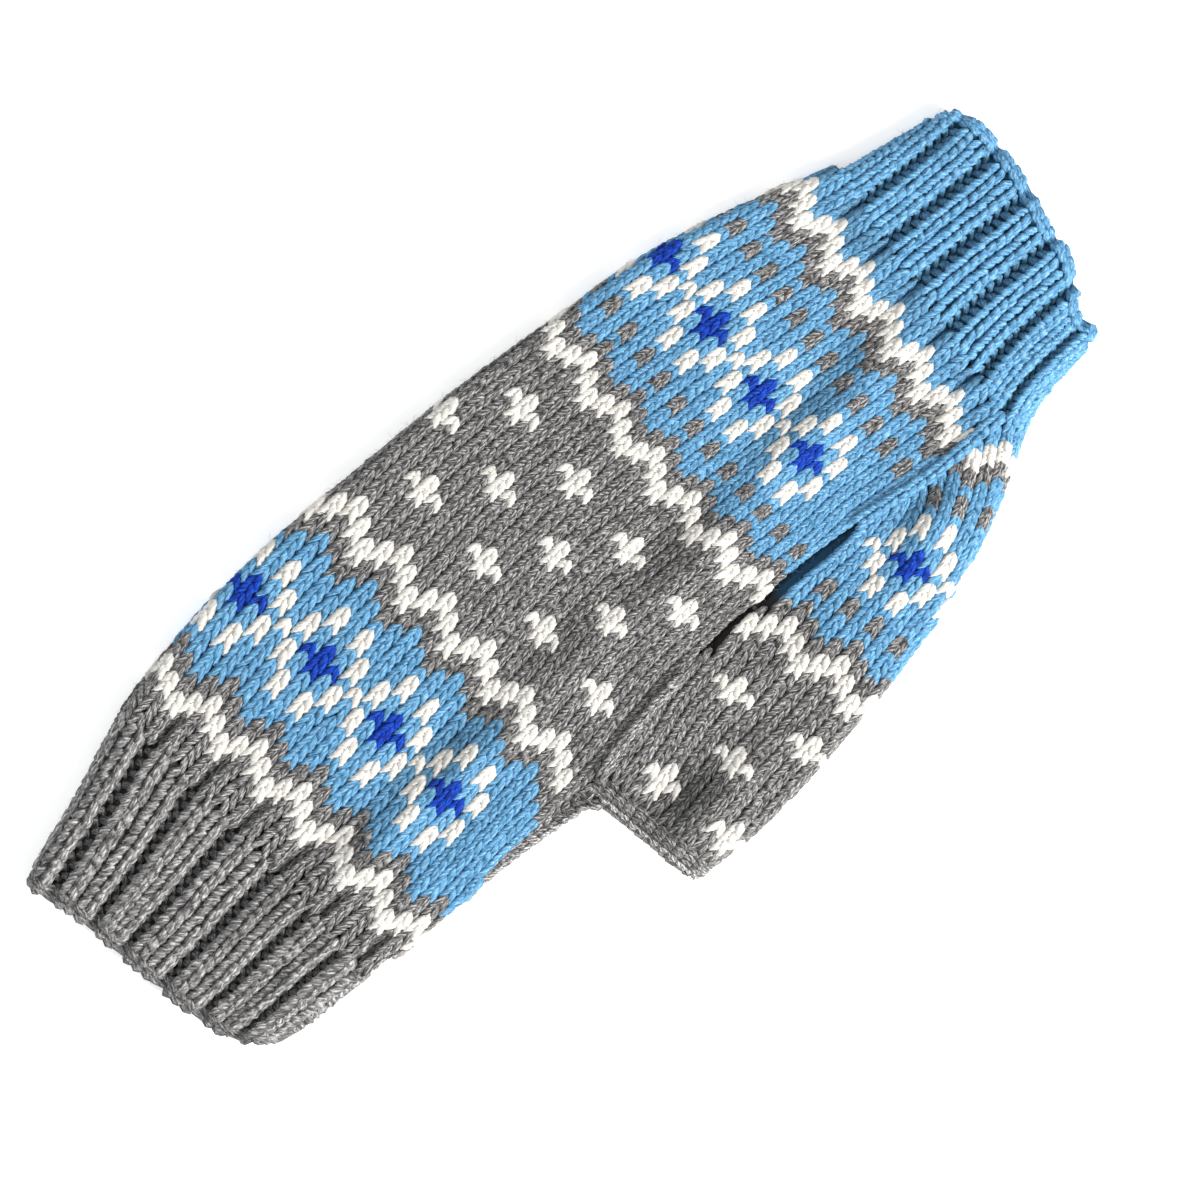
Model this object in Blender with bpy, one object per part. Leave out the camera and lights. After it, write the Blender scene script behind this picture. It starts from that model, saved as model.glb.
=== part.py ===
"""Dog sweater, knitted by hand from the neck down, laid flat on its side.

The garment lies on z = 0. Its length runs along Y with the neck towards +Y. The fold along the
spine is its -X edge and the fold under the chest its +X edge, so a section across it is a flat
tube: an upper layer, a round fold at each side and a lower layer that rests on the ground.

Lengths in this file are millimetres. The meshes are made in metres.
"""

import bmesh
import bpy
import numpy as np

MM = 0.001
MIDDLE = np.array([-0.27, -0.556, 0.0])  # middle of the garment's outline in the tables below

# Cloth
WALL = 3.2                # stranded knitting, two yarns thick
JOIN = 0.3                # between pieces that are grafted or sewn together
EDGE_ROUND = 1.1          # how far the outer face comes down at a free or sewn edge
EDGE_REACH = 1.6          # width of that rounding

# Air between the two layers
AIR_MIDDLE = 2.1
AIR_FOLD = 3.4
AIR_LEAST = 0.6
FOLD_REACH = 13.0         # how far from a fold the layers still stand apart
FOLD_CALM = 4.0           # width beside a fold that the soft folds leave alone

# Ribbing, two knit and two purl stitches
RIBS_ACROSS = 7
RIB_RISE = 2.0
NECK_RIB_HALF = 0.30      # half a raised rib, in rib pitches
HEM_RIB_HALF = 0.37
RIB_FLANK = 0.20          # width of a rib's slope, in rib pitches
RIB_FADE = 0.10           # share of the ribbing's length over which it runs out into the body
RIB_FOLD_RISE = 0.35      # share of the ribs' height that is left on a fold
RIB_FOLD_WIDTH = 4.0      # ribs reach their whole height over this width beside a fold
NECK_GROOVE_AT = 0.905    # the neck's last rib lies behind a deeper groove, in line with the seam
NECK_GROOVE_HALF = 0.016
NECK_GROOVE_DEPTH = 1.0
RIM_LENGTH = 3.0          # cast-off edge, a low bead round each rib's end
RIM_FLANK = 1.0
RIM_RISE = 1.3

# Ridge of the back's edge stitches beside the neck seam
SEAM_RISE = 0.9
SEAM_REACH = 3.2
SEAM_FADE = 12.0          # length over which it runs out at the leg opening

# Leg openings: a slit on each layer, between the back and the chest
SLIT_TOP = 98.0
SLIT_BOTTOM = 13.0
SLIT_WIDTH = 3.6
SLIT_FULLNESS = 0.7       # less than 1 opens the slit quickly from its ends

# Belly edging: a narrow knitted band that narrows as the edge turns under
EDGING_TOP = -48.0
EDGING_END = -92.5
EDGING_WIDE = 3.2
EDGING_NARROW = 1.3
EDGING_THICK = 2.6
EDGING_LIFT = 0.3         # above the back's inner face on the upper layer
EDGING_SHOULDER = 0.6     # how far its sides are lower than its crest
EDGING_SIDE = 0.25        # how far its outer side bulges
TUCK_GAP = 1.0            # below the edging, before the panel comes out to the garment's edge
TUCK_LENGTH = 2.0

# Yarns
LIGHT_BLUE = (0.13, 0.40, 0.72)
GREY = (0.17, 0.16, 0.16)
WOOL_ROUGHNESS = 0.9

BODY_FIRST = -2           # knit rows are counted from the peaks of the first zigzag
BODY_LAST = 76
CHEST_LAST = 50
UNDER_LONGER = 1.6        # how far the chest's lower layer shows below the upper one
UNDER_FADE = 0.25         # share of the chest's width over which that grows from the seam

# Places of the ribs across each rib tube, from its left fold (0) to its right fold (1)
NECK_CENTRES = np.append(0.035 + 0.1615 * np.arange(RIBS_ACROSS - 1), 0.962)
HEM_CENTRES = 0.055 + 0.155 * np.arange(RIBS_ACROSS)

# Fineness of the meshes
RIB_STEPS = 8 * RIBS_ACROSS
RIB_STATIONS = np.array([0.0, 0.022, 0.06, 0.10, 0.25, 0.45, 0.65, 0.82, 0.92, 1.0])
ARC_STEPS = 6
RIB_UNDER_STEPS = 12
BACK_STEPS = 24
BACK_UNDER_STEPS = 10
CHEST_STEPS = 13
CHEST_UNDER_STEPS = 7
EDGE_POINT = 0.4          # place of the point within an edge's rounding
SHARP_ANGLE = 50.0
TRIAL_ROWS = 1000

# Places along Y of the sections across the back and the chest
SEAM_PLACES = np.linspace(159.0, -45.5, 20)
EDGING_PLACES = np.linspace(EDGING_TOP, EDGING_END, 6)
BELLY_PLACES = np.array([-94.0, -96.5, -108.0, -122.0, -136.0, -148.0])

# The back's knit rows: where each one meets the spine fold, the middle and the right-hand edge
BACK_ROWS = np.array([
    # row  fold_x  fold_y   mid_y  edge_y
    (-2,   -70.0,  170.0,  165.0,  159.0),
    (0,    -72.5,  162.5,  157.0,  151.5),
    (7,    -81.0,  133.5,  127.5,  122.0),
    (10,   -84.0,  122.5,  116.0,  110.0),
    (17,   -90.0,   94.0,   86.5,   85.5),
    (20,   -91.5,   81.5,   74.0,   73.5),
    (25,   -93.5,   63.0,   56.5,   58.5),
    (32,   -96.0,   36.5,   30.0,   30.5),
    (38,   -97.5,   11.0,    8.0,    9.0),
    (44,   -98.0,  -12.5,  -13.5,  -13.0),
    (50,   -98.5,  -38.0,  -35.5,  -37.0),
    (57,   -98.0,  -73.0,  -65.5,  -65.5),
    (64,   -95.5, -103.5,  -97.0,  -94.5),
    (69,   -91.0, -128.0, -120.0, -117.5),
    (76,   -85.0, -154.0, -149.5, -148.0),
])

# The chest's knit rows: where each one meets the seam and the fold under the chest
CHEST_ROWS = np.array([
    # row  seam_y  fold_x  fold_y
    (-2,   159.0,   50.0,  160.5),
    (0,    150.0,   53.0,  155.0),
    (7,    121.0,   64.5,  135.0),
    (10,   108.5,   70.0,  124.0),
    (14,    92.0,   77.5,  106.0),
    (17,    81.5,   82.0,   93.5),
    (20,    71.5,   84.5,   80.5),
    (25,    51.5,   88.5,   62.0),
    (32,    22.0,   93.5,   33.5),
    (38,     1.0,   96.5,   13.0),
    (44,   -19.0,   98.0,  -10.0),
    (50,   -45.5,   97.0,  -33.5),
])

# Line between back and chest, neck to belly
SEAM = np.array([
    # y       x
    (165.0,  38.5),
    (120.0,  38.2),
    (98.0,   36.0),
    (80.0,   34.2),
    (60.0,   33.4),
    (40.0,   33.3),
    (13.0,   34.6),
    (-5.0,   36.3),
    (-20.0,  38.8),
    (-34.0,  42.3),
    (-47.0,  47.3),
])

# Edge of the belly cut-out, from the chest to the hem rib
BELLY = np.array([
    # y       x
    (-47.0,  50.8),
    (-62.0,  49.2),
    (-76.0,  47.8),
    (-93.0,  47.0),
    (-120.0, 47.4),
    (-150.0, 46.5),
])

# Cast-off edge of the neck
NECK_EDGE = np.array([
    # x       y
    (-60.5,  213.5),
    (-52.0,  219.5),
    (-39.0,  222.5),
    (-18.5,  220.0),
    (-3.0,   216.5),
    (9.0,    215.5),
    (19.0,   212.0),
    (27.5,   205.5),
    (32.0,   204.0),
    (36.5,   205.5),
    (40.5,   203.0),
])

# Cast-off edge of the hem; its corner under the belly is round
HEM_EDGE = np.array([
    # x       y
    (-61.5, -222.0),
    (-57.0, -223.5),
    (-34.0, -215.5),
    (-11.0, -212.0),
    (19.5,  -206.0),
    (29.0,  -202.5),
    (38.0,  -195.5),
    (43.5,  -187.0),
    (46.2,  -176.0),
])

# Side edges of the two ribs, from their free end (0) to the body (1)
NECK_SIDES = np.array([
    # along  left_x  right_x
    (0.00,   -60.5,   40.5),
    (0.25,   -61.5,   41.5),
    (0.60,   -64.5,   43.5),
    (0.85,   -67.7,   47.0),
    (1.00,   -70.0,   50.0),
])
HEM_SIDES = np.array([
    # along  left_x  right_x
    (0.00,   -61.5,   46.2),
    (0.25,   -65.5,   46.6),
    (0.60,   -75.0,   46.2),
    (0.85,   -81.5,   46.4),
    (1.00,   -85.0,   46.6),
])

# Soft troughs (-) and swellings (+) of the upper layer
SOFT_FOLDS = np.array([
    # x      y      turn   long   wide   rise
    (-6.0,  128.0,   4.0,  42.0,   7.0,  -1.0),
    (-48.0, 100.0,  12.0,  34.0,  12.0,   0.6),
    (20.0,   96.0,  -6.0,  30.0,   9.0,   0.5),
    (-8.0,   22.0,  20.0,  30.0,  14.0,  -0.7),
    (-52.0,  -2.0,  -8.0,  46.0,  16.0,   0.6),
    (70.0,  -22.0,  14.0,  12.0,  16.0,  -1.2),
    (64.0,   40.0, -10.0,  34.0,  12.0,   0.6),
    (-9.0,  -98.0,   6.0,  26.0,   8.0,  -0.9),
    (14.0,  -66.0, -25.0,  28.0,  13.0,   0.5),
    (-22.0, -146.0, 62.0,  30.0,   9.0,  -0.8),
    (-60.0, -118.0, -14.0, 34.0,  13.0,   0.6),
    (36.0,  -132.0,  0.0,  30.0,   7.0,   0.6),
])


def smooth_at(places, values, at):
    """A cubic through the table's points, with each slope taken from the two neighbours."""
    places = np.asarray(places, float)
    values = np.asarray(values, float)
    if places[0] > places[-1]:
        places, values = places[::-1], values[::-1]
    at = np.clip(np.asarray(at, float), places[0], places[-1])
    slopes = np.gradient(values, places)
    i = np.clip(np.searchsorted(places, at, side="right") - 1, 0, len(places) - 2)
    step = places[i + 1] - places[i]
    t = (at - places[i]) / step
    return (values[i] * (2 * t**3 - 3 * t**2 + 1) + slopes[i] * step * (t**3 - 2 * t**2 + t)
            + values[i + 1] * (3 * t**2 - 2 * t**3) + slopes[i + 1] * step * (t**3 - t**2))


def seam_x(y):
    """The line between back and chest."""
    return smooth_at(SEAM[:, 0], SEAM[:, 1], y)


def seam_half_gap(y):
    """Half the distance between back and chest: a join, or the open slit for a leg."""
    along = np.clip((y - SLIT_BOTTOM) / (SLIT_TOP - SLIT_BOTTOM), 0, 1)
    return (JOIN + (SLIT_WIDTH - JOIN) * np.sin(np.pi * along) ** SLIT_FULLNESS) / 2


def edging_width(y):
    """The belly edging narrows from the chest to where it is tucked under."""
    along = np.clip((EDGING_TOP - y) / (EDGING_TOP - EDGING_END), 0, 1)
    return EDGING_WIDE + (EDGING_NARROW - EDGING_WIDE) * along


def belly_x(y):
    """The garment's edge along the belly cut-out."""
    return smooth_at(BELLY[:, 0], BELLY[:, 1], y)


def back_edge_x(y):
    """The back's right-hand edge: the seam, then the belly edge less its edging, then the edge."""
    beside_edging = belly_x(y) - edging_width(y) - JOIN
    turned_under = smooth_step((EDGING_END - TUCK_GAP - y) / TUCK_LENGTH)
    free_edge = beside_edging + (edging_width(y) + JOIN) * turned_under
    sewn_edge = seam_x(y) - seam_half_gap(y)
    return np.where(y > SEAM[-1, 0], np.minimum(sewn_edge, belly_x(SEAM[-1, 0])), free_edge)


def smooth_step(t):
    """0 up to t = 0, 1 from t = 1, with a soft rise between."""
    t = np.clip(t, 0, 1)
    return t * t * (3 - 2 * t)


def air(x, y, from_fold):
    """Air between the layers at a place: more beside a fold, with the soft folds on top."""
    depth = AIR_MIDDLE + (AIR_FOLD - AIR_MIDDLE) * np.exp(-(from_fold / FOLD_REACH) ** 2)
    quiet = 1 - np.exp(-(from_fold / FOLD_CALM) ** 2)
    for centre_x, centre_y, turn, length, width, rise in SOFT_FOLDS:
        angle = np.radians(turn)
        across = (x - centre_x) * np.cos(angle) + (y - centre_y) * np.sin(angle)
        along = (y - centre_y) * np.cos(angle) - (x - centre_x) * np.sin(angle)
        depth = depth + quiet * rise * np.exp(-(across / width) ** 2 - (along / length) ** 2)
    return np.maximum(depth, AIR_LEAST)


def back_row(row, across):
    """Points of a knit row of the back; across runs from the spine fold (0) to the edge (1)."""
    fold_x = smooth_at(BACK_ROWS[:, 0], BACK_ROWS[:, 1], row)
    fold_y = smooth_at(BACK_ROWS[:, 0], BACK_ROWS[:, 2], row)
    mid_y = smooth_at(BACK_ROWS[:, 0], BACK_ROWS[:, 3], row)
    edge_y = smooth_at(BACK_ROWS[:, 0], BACK_ROWS[:, 4], row)
    edge_x = back_edge_x(edge_y)
    y = (fold_y * (1 - across) * (1 - 2 * across) + 4 * mid_y * across * (1 - across)
         + edge_y * across * (2 * across - 1))
    x = fold_x + (edge_x - fold_x) * across
    return x, y


def chest_row(row, across):
    """Points of a knit row of the chest; across runs from the fold (0) to the seam (1)."""
    seam_y = smooth_at(CHEST_ROWS[:, 0], CHEST_ROWS[:, 1], row)
    fold_x = smooth_at(CHEST_ROWS[:, 0], CHEST_ROWS[:, 2], row)
    fold_y = smooth_at(CHEST_ROWS[:, 0], CHEST_ROWS[:, 3], row)
    edge_x = seam_x(seam_y) + seam_half_gap(seam_y)
    return fold_x + (edge_x - fold_x) * across, fold_y + (seam_y - fold_y) * across


def rows_meeting(places, row_points, first, last):
    """The knit rows whose edge is at these places along Y, so that two edges share their points."""
    rows = np.linspace(first, last, TRIAL_ROWS)
    _, edge_y = row_points(rows, 1.0)
    return np.interp(-places, -edge_y, rows)


def body_line_y(row, x):
    """Height in Y of the back's and chest's end row at a place across the garment."""
    fold_x, _ = back_row(row, 0.0)
    edge_x, edge_y = back_row(row, 1.0)
    _, on_back = back_row(row, np.clip((x - fold_x) / (edge_x - fold_x), 0, 1))
    if row > CHEST_LAST:
        return on_back
    chest_fold_x, _ = chest_row(row, 0.0)
    chest_edge_x, _ = chest_row(row, 1.0)
    share = np.clip((x - chest_fold_x) / (chest_edge_x - chest_fold_x), 0, 1)
    _, on_chest = chest_row(row, share)
    return np.where(x > (edge_x + chest_edge_x) / 2, on_chest, on_back)


def make_object(name, corners, faces, colour):
    """A mesh object of one closed body, in metres, with its own material."""
    mesh = bpy.data.meshes.new(name)
    mesh.from_pydata(((corners - MIDDLE) * MM).tolist(), [], faces)
    shape = bmesh.new()
    shape.from_mesh(mesh)
    bmesh.ops.recalc_face_normals(shape, faces=shape.faces)
    shape.to_mesh(mesh)
    shape.free()
    mesh.shade_smooth()
    mesh.set_sharp_from_angle(angle=np.radians(SHARP_ANGLE))
    material = bpy.data.materials.new(name + "_yarn")
    material.use_nodes = True
    finish = material.node_tree.nodes["Principled BSDF"]
    finish.inputs["Base Color"].default_value = (*colour, 1)
    finish.inputs["Roughness"].default_value = WOOL_ROUGHNESS
    finish.inputs["Metallic"].default_value = 0
    mesh.materials.append(material)
    bpy.context.scene.collection.objects.link(bpy.data.objects.new(name, mesh))


def make_wall(name, outer, inner, closed, colour):
    """A wall between two grids of points (section, place in section), open or closed round."""
    sections, places = outer.shape[:2]
    corners = np.concatenate([outer.reshape(-1, 3), inner.reshape(-1, 3)])
    inside = sections * places
    last = places if closed else places - 1
    faces = []
    for s in range(sections - 1):
        for p in range(last):
            q = (p + 1) % places
            a, b = s * places + p, s * places + q
            c, d = (s + 1) * places + q, (s + 1) * places + p
            faces.append((a, b, c, d))
            faces.append((inside + d, inside + c, inside + b, inside + a))
    for p in range(last):
        q = (p + 1) % places
        end = (sections - 1) * places
        faces.append((inside + p, inside + q, q, p))
        faces.append((end + p, end + q, inside + end + q, inside + end + p))
    if not closed:
        for s in range(sections - 1):
            for p in (0, places - 1):
                a, b = s * places + p, (s + 1) * places + p
                faces.append((a, b, inside + b, inside + a))
    make_object(name, corners, faces, colour)


def fold_arc(fold_x, y_at, gap, side):
    """Outer and inner points round a fold, between its upper and its lower end.

    y_at gives Y at a place: from x, and from the share of the way round the fold.
    """
    radius = (2 * WALL + gap) / 2
    centre_x = fold_x - side * radius
    share = np.arange(1, ARC_STEPS) / ARC_STEPS
    turn = np.pi * share
    outer_x = centre_x + side * radius * np.sin(turn)
    inner_x = centre_x + side * gap / 2 * np.sin(turn)
    y = y_at(outer_x, share)
    outer = np.stack([outer_x, y, radius + radius * np.cos(turn)], axis=1)
    inner = np.stack([inner_x, y, radius + gap / 2 * np.cos(turn)], axis=1)
    return outer, inner


def edge_drop(from_edge):
    """The outer face comes down in a quarter round at the cloth's edge."""
    reach = np.clip(1 - from_edge / EDGE_REACH, 0, 1)
    return EDGE_ROUND * (1 - np.sqrt(1 - reach**2))


def folded_panel(name, rows, row_points, side, top_steps, bottom_steps, last_inset,
                 ridge_rise=0.0, under_longer=0.0):
    """A panel folded in two along its length: upper layer, fold, lower layer.

    side is -1 for a fold on the left and +1 for one on the right. row_points gives a row's
    points, from the fold (0) to the edge (1). Its ends are kept off the pieces that they meet.
    """
    outer_rows, inner_rows = [], []
    for row in rows:
        inset = -JOIN / 2 if row == rows[0] else last_inset if row == rows[-1] else 0.0
        longer = under_longer if row == rows[-1] else 0.0
        fold_x, fold_y = row_points(row, 0.0)
        gap = float(air(fold_x, fold_y, 0.0))
        radius = (2 * WALL + gap) / 2
        edge_x, _ = row_points(row, 1.0)
        width = abs(edge_x - fold_x)
        top_across = spaced_to_edge(top_steps, radius / width, EDGE_REACH / width)
        bottom_across = np.linspace(radius / width, 1, bottom_steps + 1)
        x, y = row_points(row, top_across)
        y = y + inset
        lift = air(x, y, np.abs(x - fold_x) - radius)
        top_inner = np.stack([x, y, WALL + lift], axis=1)
        from_edge = np.abs(edge_x - x)
        relief = ridge_rise * seam_ridge(from_edge, y) - edge_drop(from_edge)
        top_outer = np.stack([x, y, 2 * WALL + lift + relief], axis=1)
        x, y = row_points(row, bottom_across)
        y = y + inset - longer * smooth_step((1 - bottom_across) / UNDER_FADE)
        bottom_outer = np.stack([x, y, np.zeros_like(x)], axis=1)
        bottom_inner = np.stack([x, y, np.full_like(x, WALL)], axis=1)

        def arc_y(x, share):
            return row_points(row, (x - fold_x) / (edge_x - fold_x))[1] + inset - longer * share

        arc_outer, arc_inner = fold_arc(fold_x, arc_y, gap, side)
        outer_rows.append(np.concatenate([top_outer[::-1], arc_outer, bottom_outer]))
        inner_rows.append(np.concatenate([top_inner[::-1], arc_inner, bottom_inner]))
    make_wall(name, np.array(outer_rows), np.array(inner_rows), False, GREY)


def spaced_to_edge(steps, first, last_step):
    """Places across a panel, even up to a close pair at its edge."""
    even = np.linspace(first, 1 - last_step, steps)
    return np.append(even, [1 - last_step * EDGE_POINT, 1.0])


def seam_ridge(from_edge, y):
    """Shape of the ridge of edge stitches above the leg opening, at most 1."""
    along = smooth_step((y - SLIT_TOP) / SEAM_FADE + 0.5)
    return along * np.exp(-((from_edge - SEAM_REACH / 2) / SEAM_REACH) ** 2)


def rib_wave(across, centres, half):
    """Height of the ribbing, 0 in a purl groove and 1 on a pair of knit stitches."""
    pitch = centres[1] - centres[0]
    nearest = np.min(np.abs(across[:, None] - centres[None, :]), axis=1) / pitch
    return 1 - smooth_step((nearest - half) / RIB_FLANK + 0.5)


def neck_wave(across):
    """The neck's ribs, with the deep groove in front of the last one."""
    groove = np.exp(-((across - NECK_GROOVE_AT) / NECK_GROOVE_HALF) ** 2)
    ribs = rib_wave(across, NECK_CENTRES, NECK_RIB_HALF)
    return ribs * (1 - groove) - groove * NECK_GROOVE_DEPTH / RIB_RISE


def hem_wave(across):
    """The hem's ribs."""
    return rib_wave(across, HEM_CENTRES, HEM_RIB_HALF)


def rib_tube(name, sides, free_edge, last_row, wave, inset, colour):
    """A ribbed tube laid flat; each column of points runs from the free edge to the body."""
    outer_rows, inner_rows = [], []
    for along in RIB_STATIONS:
        left_x = float(smooth_at(sides[:, 0], sides[:, 1], along))
        right_x = float(smooth_at(sides[:, 0], sides[:, 2], along))
        width = right_x - left_x

        def column_y(across):
            free_y = free_end_y(free_edge, sides, across)
            body_x = sides[-1, 1] + (sides[-1, 2] - sides[-1, 1]) * across
            return free_y + (body_line_y(last_row, body_x) + inset - free_y) * along

        def arc_y(x, share):
            return column_y((x - left_x) / width)

        left_y, right_y = float(column_y(0.0)), float(column_y(1.0))
        gap_left = float(air(left_x, left_y, 0.0))
        gap_right = float(air(right_x, right_y, 0.0))
        radius_left = (2 * WALL + gap_left) / 2
        radius_right = (2 * WALL + gap_right) / 2
        across = np.linspace(radius_left / width, 1 - radius_right / width, RIB_STEPS + 1)
        x, y = left_x + width * across, column_y(across)
        from_fold = np.minimum(x - left_x - radius_left, right_x - radius_right - x)
        lift = air(x, y, from_fold)
        from_free = np.abs(y - free_end_y(free_edge, sides, across))
        rim = smooth_step((RIM_LENGTH - from_free) / RIM_FLANK + 0.5)
        ribs = RIB_RISE * wave(across) * smooth_step((1 - along) / RIB_FADE)
        relief = ribs * (1 - rim) + RIM_RISE * rim - edge_drop(from_free)
        near_fold = smooth_step(from_fold / RIB_FOLD_WIDTH + RIB_FOLD_RISE)
        top_outer = np.stack([x, y, 2 * WALL + lift + relief * near_fold], axis=1)
        top_inner = np.stack([x, y, WALL + lift], axis=1)
        left_outer, left_inner = fold_arc(left_x, arc_y, gap_left, -1)
        right_outer, right_inner = fold_arc(right_x, arc_y, gap_right, 1)
        across = np.linspace(radius_left / width, 1 - radius_right / width, RIB_UNDER_STEPS + 1)
        x, y = left_x + width * across, column_y(across)
        bottom_outer = np.stack([x, y, np.zeros_like(x)], axis=1)
        bottom_inner = np.stack([x, y, np.full_like(x, WALL)], axis=1)
        outer_rows.append(np.concatenate([top_outer, right_outer, bottom_outer[::-1],
                                          left_outer[::-1]]))
        inner_rows.append(np.concatenate([top_inner, right_inner, bottom_inner[::-1],
                                          left_inner[::-1]]))
    make_wall(name, np.array(outer_rows), np.array(inner_rows), True, colour)


def free_end_y(free_edge, sides, across):
    """Y of a rib's free edge at the end of each column of points."""
    free_x = sides[0, 1] + (sides[0, 2] - sides[0, 1]) * across
    return smooth_at(free_edge[:, 0], free_edge[:, 1], free_x)


def belly_edging(name, rows, layer_z):
    """A narrow band along the belly edge of one layer, from the chest to where it turns under.

    layer_z gives the height of its lower side at a place.
    """
    edge_x, y = np.array([back_row(row, 1.0) for row in rows]).T
    inner_x, outer_x = edge_x + JOIN, belly_x(y)
    low = layer_z(inner_x, y)
    high = low + EDGING_THICK
    section = (
        (inner_x, low),
        (inner_x, high - EDGING_SHOULDER),
        ((inner_x + outer_x) / 2, high),
        (outer_x - EDGING_SIDE, high - EDGING_SHOULDER),
        (outer_x, (low + high) / 2),
        (outer_x - EDGING_SIDE, low),
    )
    corners = np.stack([np.stack([x, y, z], axis=1) for x, z in section], axis=1)
    sections, places = corners.shape[:2]
    faces = []
    for s in range(sections - 1):
        for p in range(places):
            q = (p + 1) % places
            a, b = s * places, (s + 1) * places
            faces.append((a + p, a + q, b + q, b + p))
    faces.append(tuple(range(places)))
    faces.append(tuple(range((sections - 1) * places, sections * places)))
    make_object(name, corners.reshape(-1, 3), faces, GREY)


def under_z(x, y):
    """Height of the lower layer's lower side: it rests on the ground."""
    return np.zeros_like(y)


def upper_z(x, y):
    """Height of the upper layer's lower side at the belly edge, with the edging a little above."""
    from_fold = x - back_row(BODY_LAST, 0.0)[0]
    return WALL + air(x, y, from_fold) + EDGING_LIFT


for old in list(bpy.data.objects):
    bpy.data.objects.remove(old, do_unlink=True)

edging_rows = rows_meeting(EDGING_PLACES, back_row, BODY_FIRST, BODY_LAST)
back_rows = rows_meeting(np.concatenate([SEAM_PLACES, EDGING_PLACES, BELLY_PLACES]),
                         back_row, BODY_FIRST, BODY_LAST)
chest_rows = rows_meeting(SEAM_PLACES, chest_row, BODY_FIRST, CHEST_LAST)

rib_tube("neck_rib", NECK_SIDES, NECK_EDGE, BODY_FIRST, neck_wave, JOIN / 2, LIGHT_BLUE)
folded_panel("back", back_rows, back_row, -1, BACK_STEPS, BACK_UNDER_STEPS, JOIN / 2,
             ridge_rise=SEAM_RISE)
folded_panel("chest", chest_rows, chest_row, 1, CHEST_STEPS, CHEST_UNDER_STEPS, 0.0,
             under_longer=UNDER_LONGER)
rib_tube("hem_rib", HEM_SIDES, HEM_EDGE, BODY_LAST, hem_wave, -JOIN / 2, GREY)
belly_edging("belly_edging_upper", edging_rows, upper_z)
belly_edging("belly_edging_under", edging_rows, under_z)
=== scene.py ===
"""Looks of a dog sweater knitted by hand from the neck down and laid flat on its side.

Every stitch is a pair of closed strands of yarn, laid on the cloth's outer face by its knit row
and its column, and grouped into pieces by stretch of knitting and by yarn. Under them each panel
has a thin wall of cloth, which closes the small holes between the stitches and is coloured dark
as painted shade.

Tables are in millimetres, meshes in metres. +Y is towards the neck, the fold along the spine is
the -X edge and the fold under the chest the +X edge. Rows are counted from the neck to the hem.
"""

from functools import partial
from types import SimpleNamespace

import bpy
import numpy as np
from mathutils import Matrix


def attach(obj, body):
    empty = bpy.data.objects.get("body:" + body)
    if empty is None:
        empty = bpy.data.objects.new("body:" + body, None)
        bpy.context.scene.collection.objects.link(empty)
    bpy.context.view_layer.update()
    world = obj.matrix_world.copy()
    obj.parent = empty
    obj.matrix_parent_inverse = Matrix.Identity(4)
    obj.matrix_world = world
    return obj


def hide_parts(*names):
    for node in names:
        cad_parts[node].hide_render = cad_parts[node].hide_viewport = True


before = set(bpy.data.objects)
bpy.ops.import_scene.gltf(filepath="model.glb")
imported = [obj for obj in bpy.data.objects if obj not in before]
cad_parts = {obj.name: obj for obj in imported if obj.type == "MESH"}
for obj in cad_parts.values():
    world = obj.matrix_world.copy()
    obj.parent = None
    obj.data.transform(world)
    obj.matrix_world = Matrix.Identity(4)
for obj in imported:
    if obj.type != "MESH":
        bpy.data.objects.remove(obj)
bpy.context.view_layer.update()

MM = 0.001
MIDDLE = np.array([-0.27, -0.556, 0.0])  # middle of the garment's outline in the tables below

# Cloth
WALL = 3.2
AIR_MIDDLE = 2.1
AIR_FOLD = 3.4
AIR_LEAST = 0.6
FOLD_REACH = 13.0
FOLD_CALM = 4.0
FOLD_RADIUS = WALL + AIR_FOLD / 2
HALF_FOLD = np.pi / 2 * FOLD_RADIUS   # the cloth's way from the upper layer to a fold's edge
FOLD_TOP = 0.6 * FOLD_RADIUS          # stitches that are higher are the upper layer's
FAR = 60.0                # so far from a fold it no longer counts
JOIN = 0.3
BACKING_DEPTH = 1.7       # from the stitches' crests to the wall of cloth under them
BACKING_THICK = 1.0
BACK_WALL_GRID = (79, 104)   # places down and across the walls
CHEST_WALL_GRID = (53, 57)
RIB_WALL_GRID = (24, 224)

# Ribbing
RIB_RISE = 2.0            # knit columns above the cloth's face, and grooves below it
GROOVE_DEPTH = 2.0
GROOVE_HALF = 0.10        # where a groove's flank is, in ribs from its middle
GROOVE_FLANK = 0.16
SCALLOP = 0.35            # the free edges run out a little at each rib
SCALLOP_LENGTH = 0.16
RIB_OVERRUN = 1.06        # a rib's stitches reach into the body, to this share of its length
NECK_BODY_COLUMN = 1.5    # column of the body below the neck's groove 0, and above the hem's
HEM_BODY_COLUMN = -1.0
BODY_COLUMNS_A_RIB = 4
RIB_PINCH = 0.31          # how far the body's columns beside a groove are drawn together
NECK_RIBS_END = 2.0       # the ribs fade out in the body, over so many rows
NECK_RIBS_FADE = 3.6
HEM_RIBS_START = 70.5
HEM_RIBS_FADE = 4.0

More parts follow.
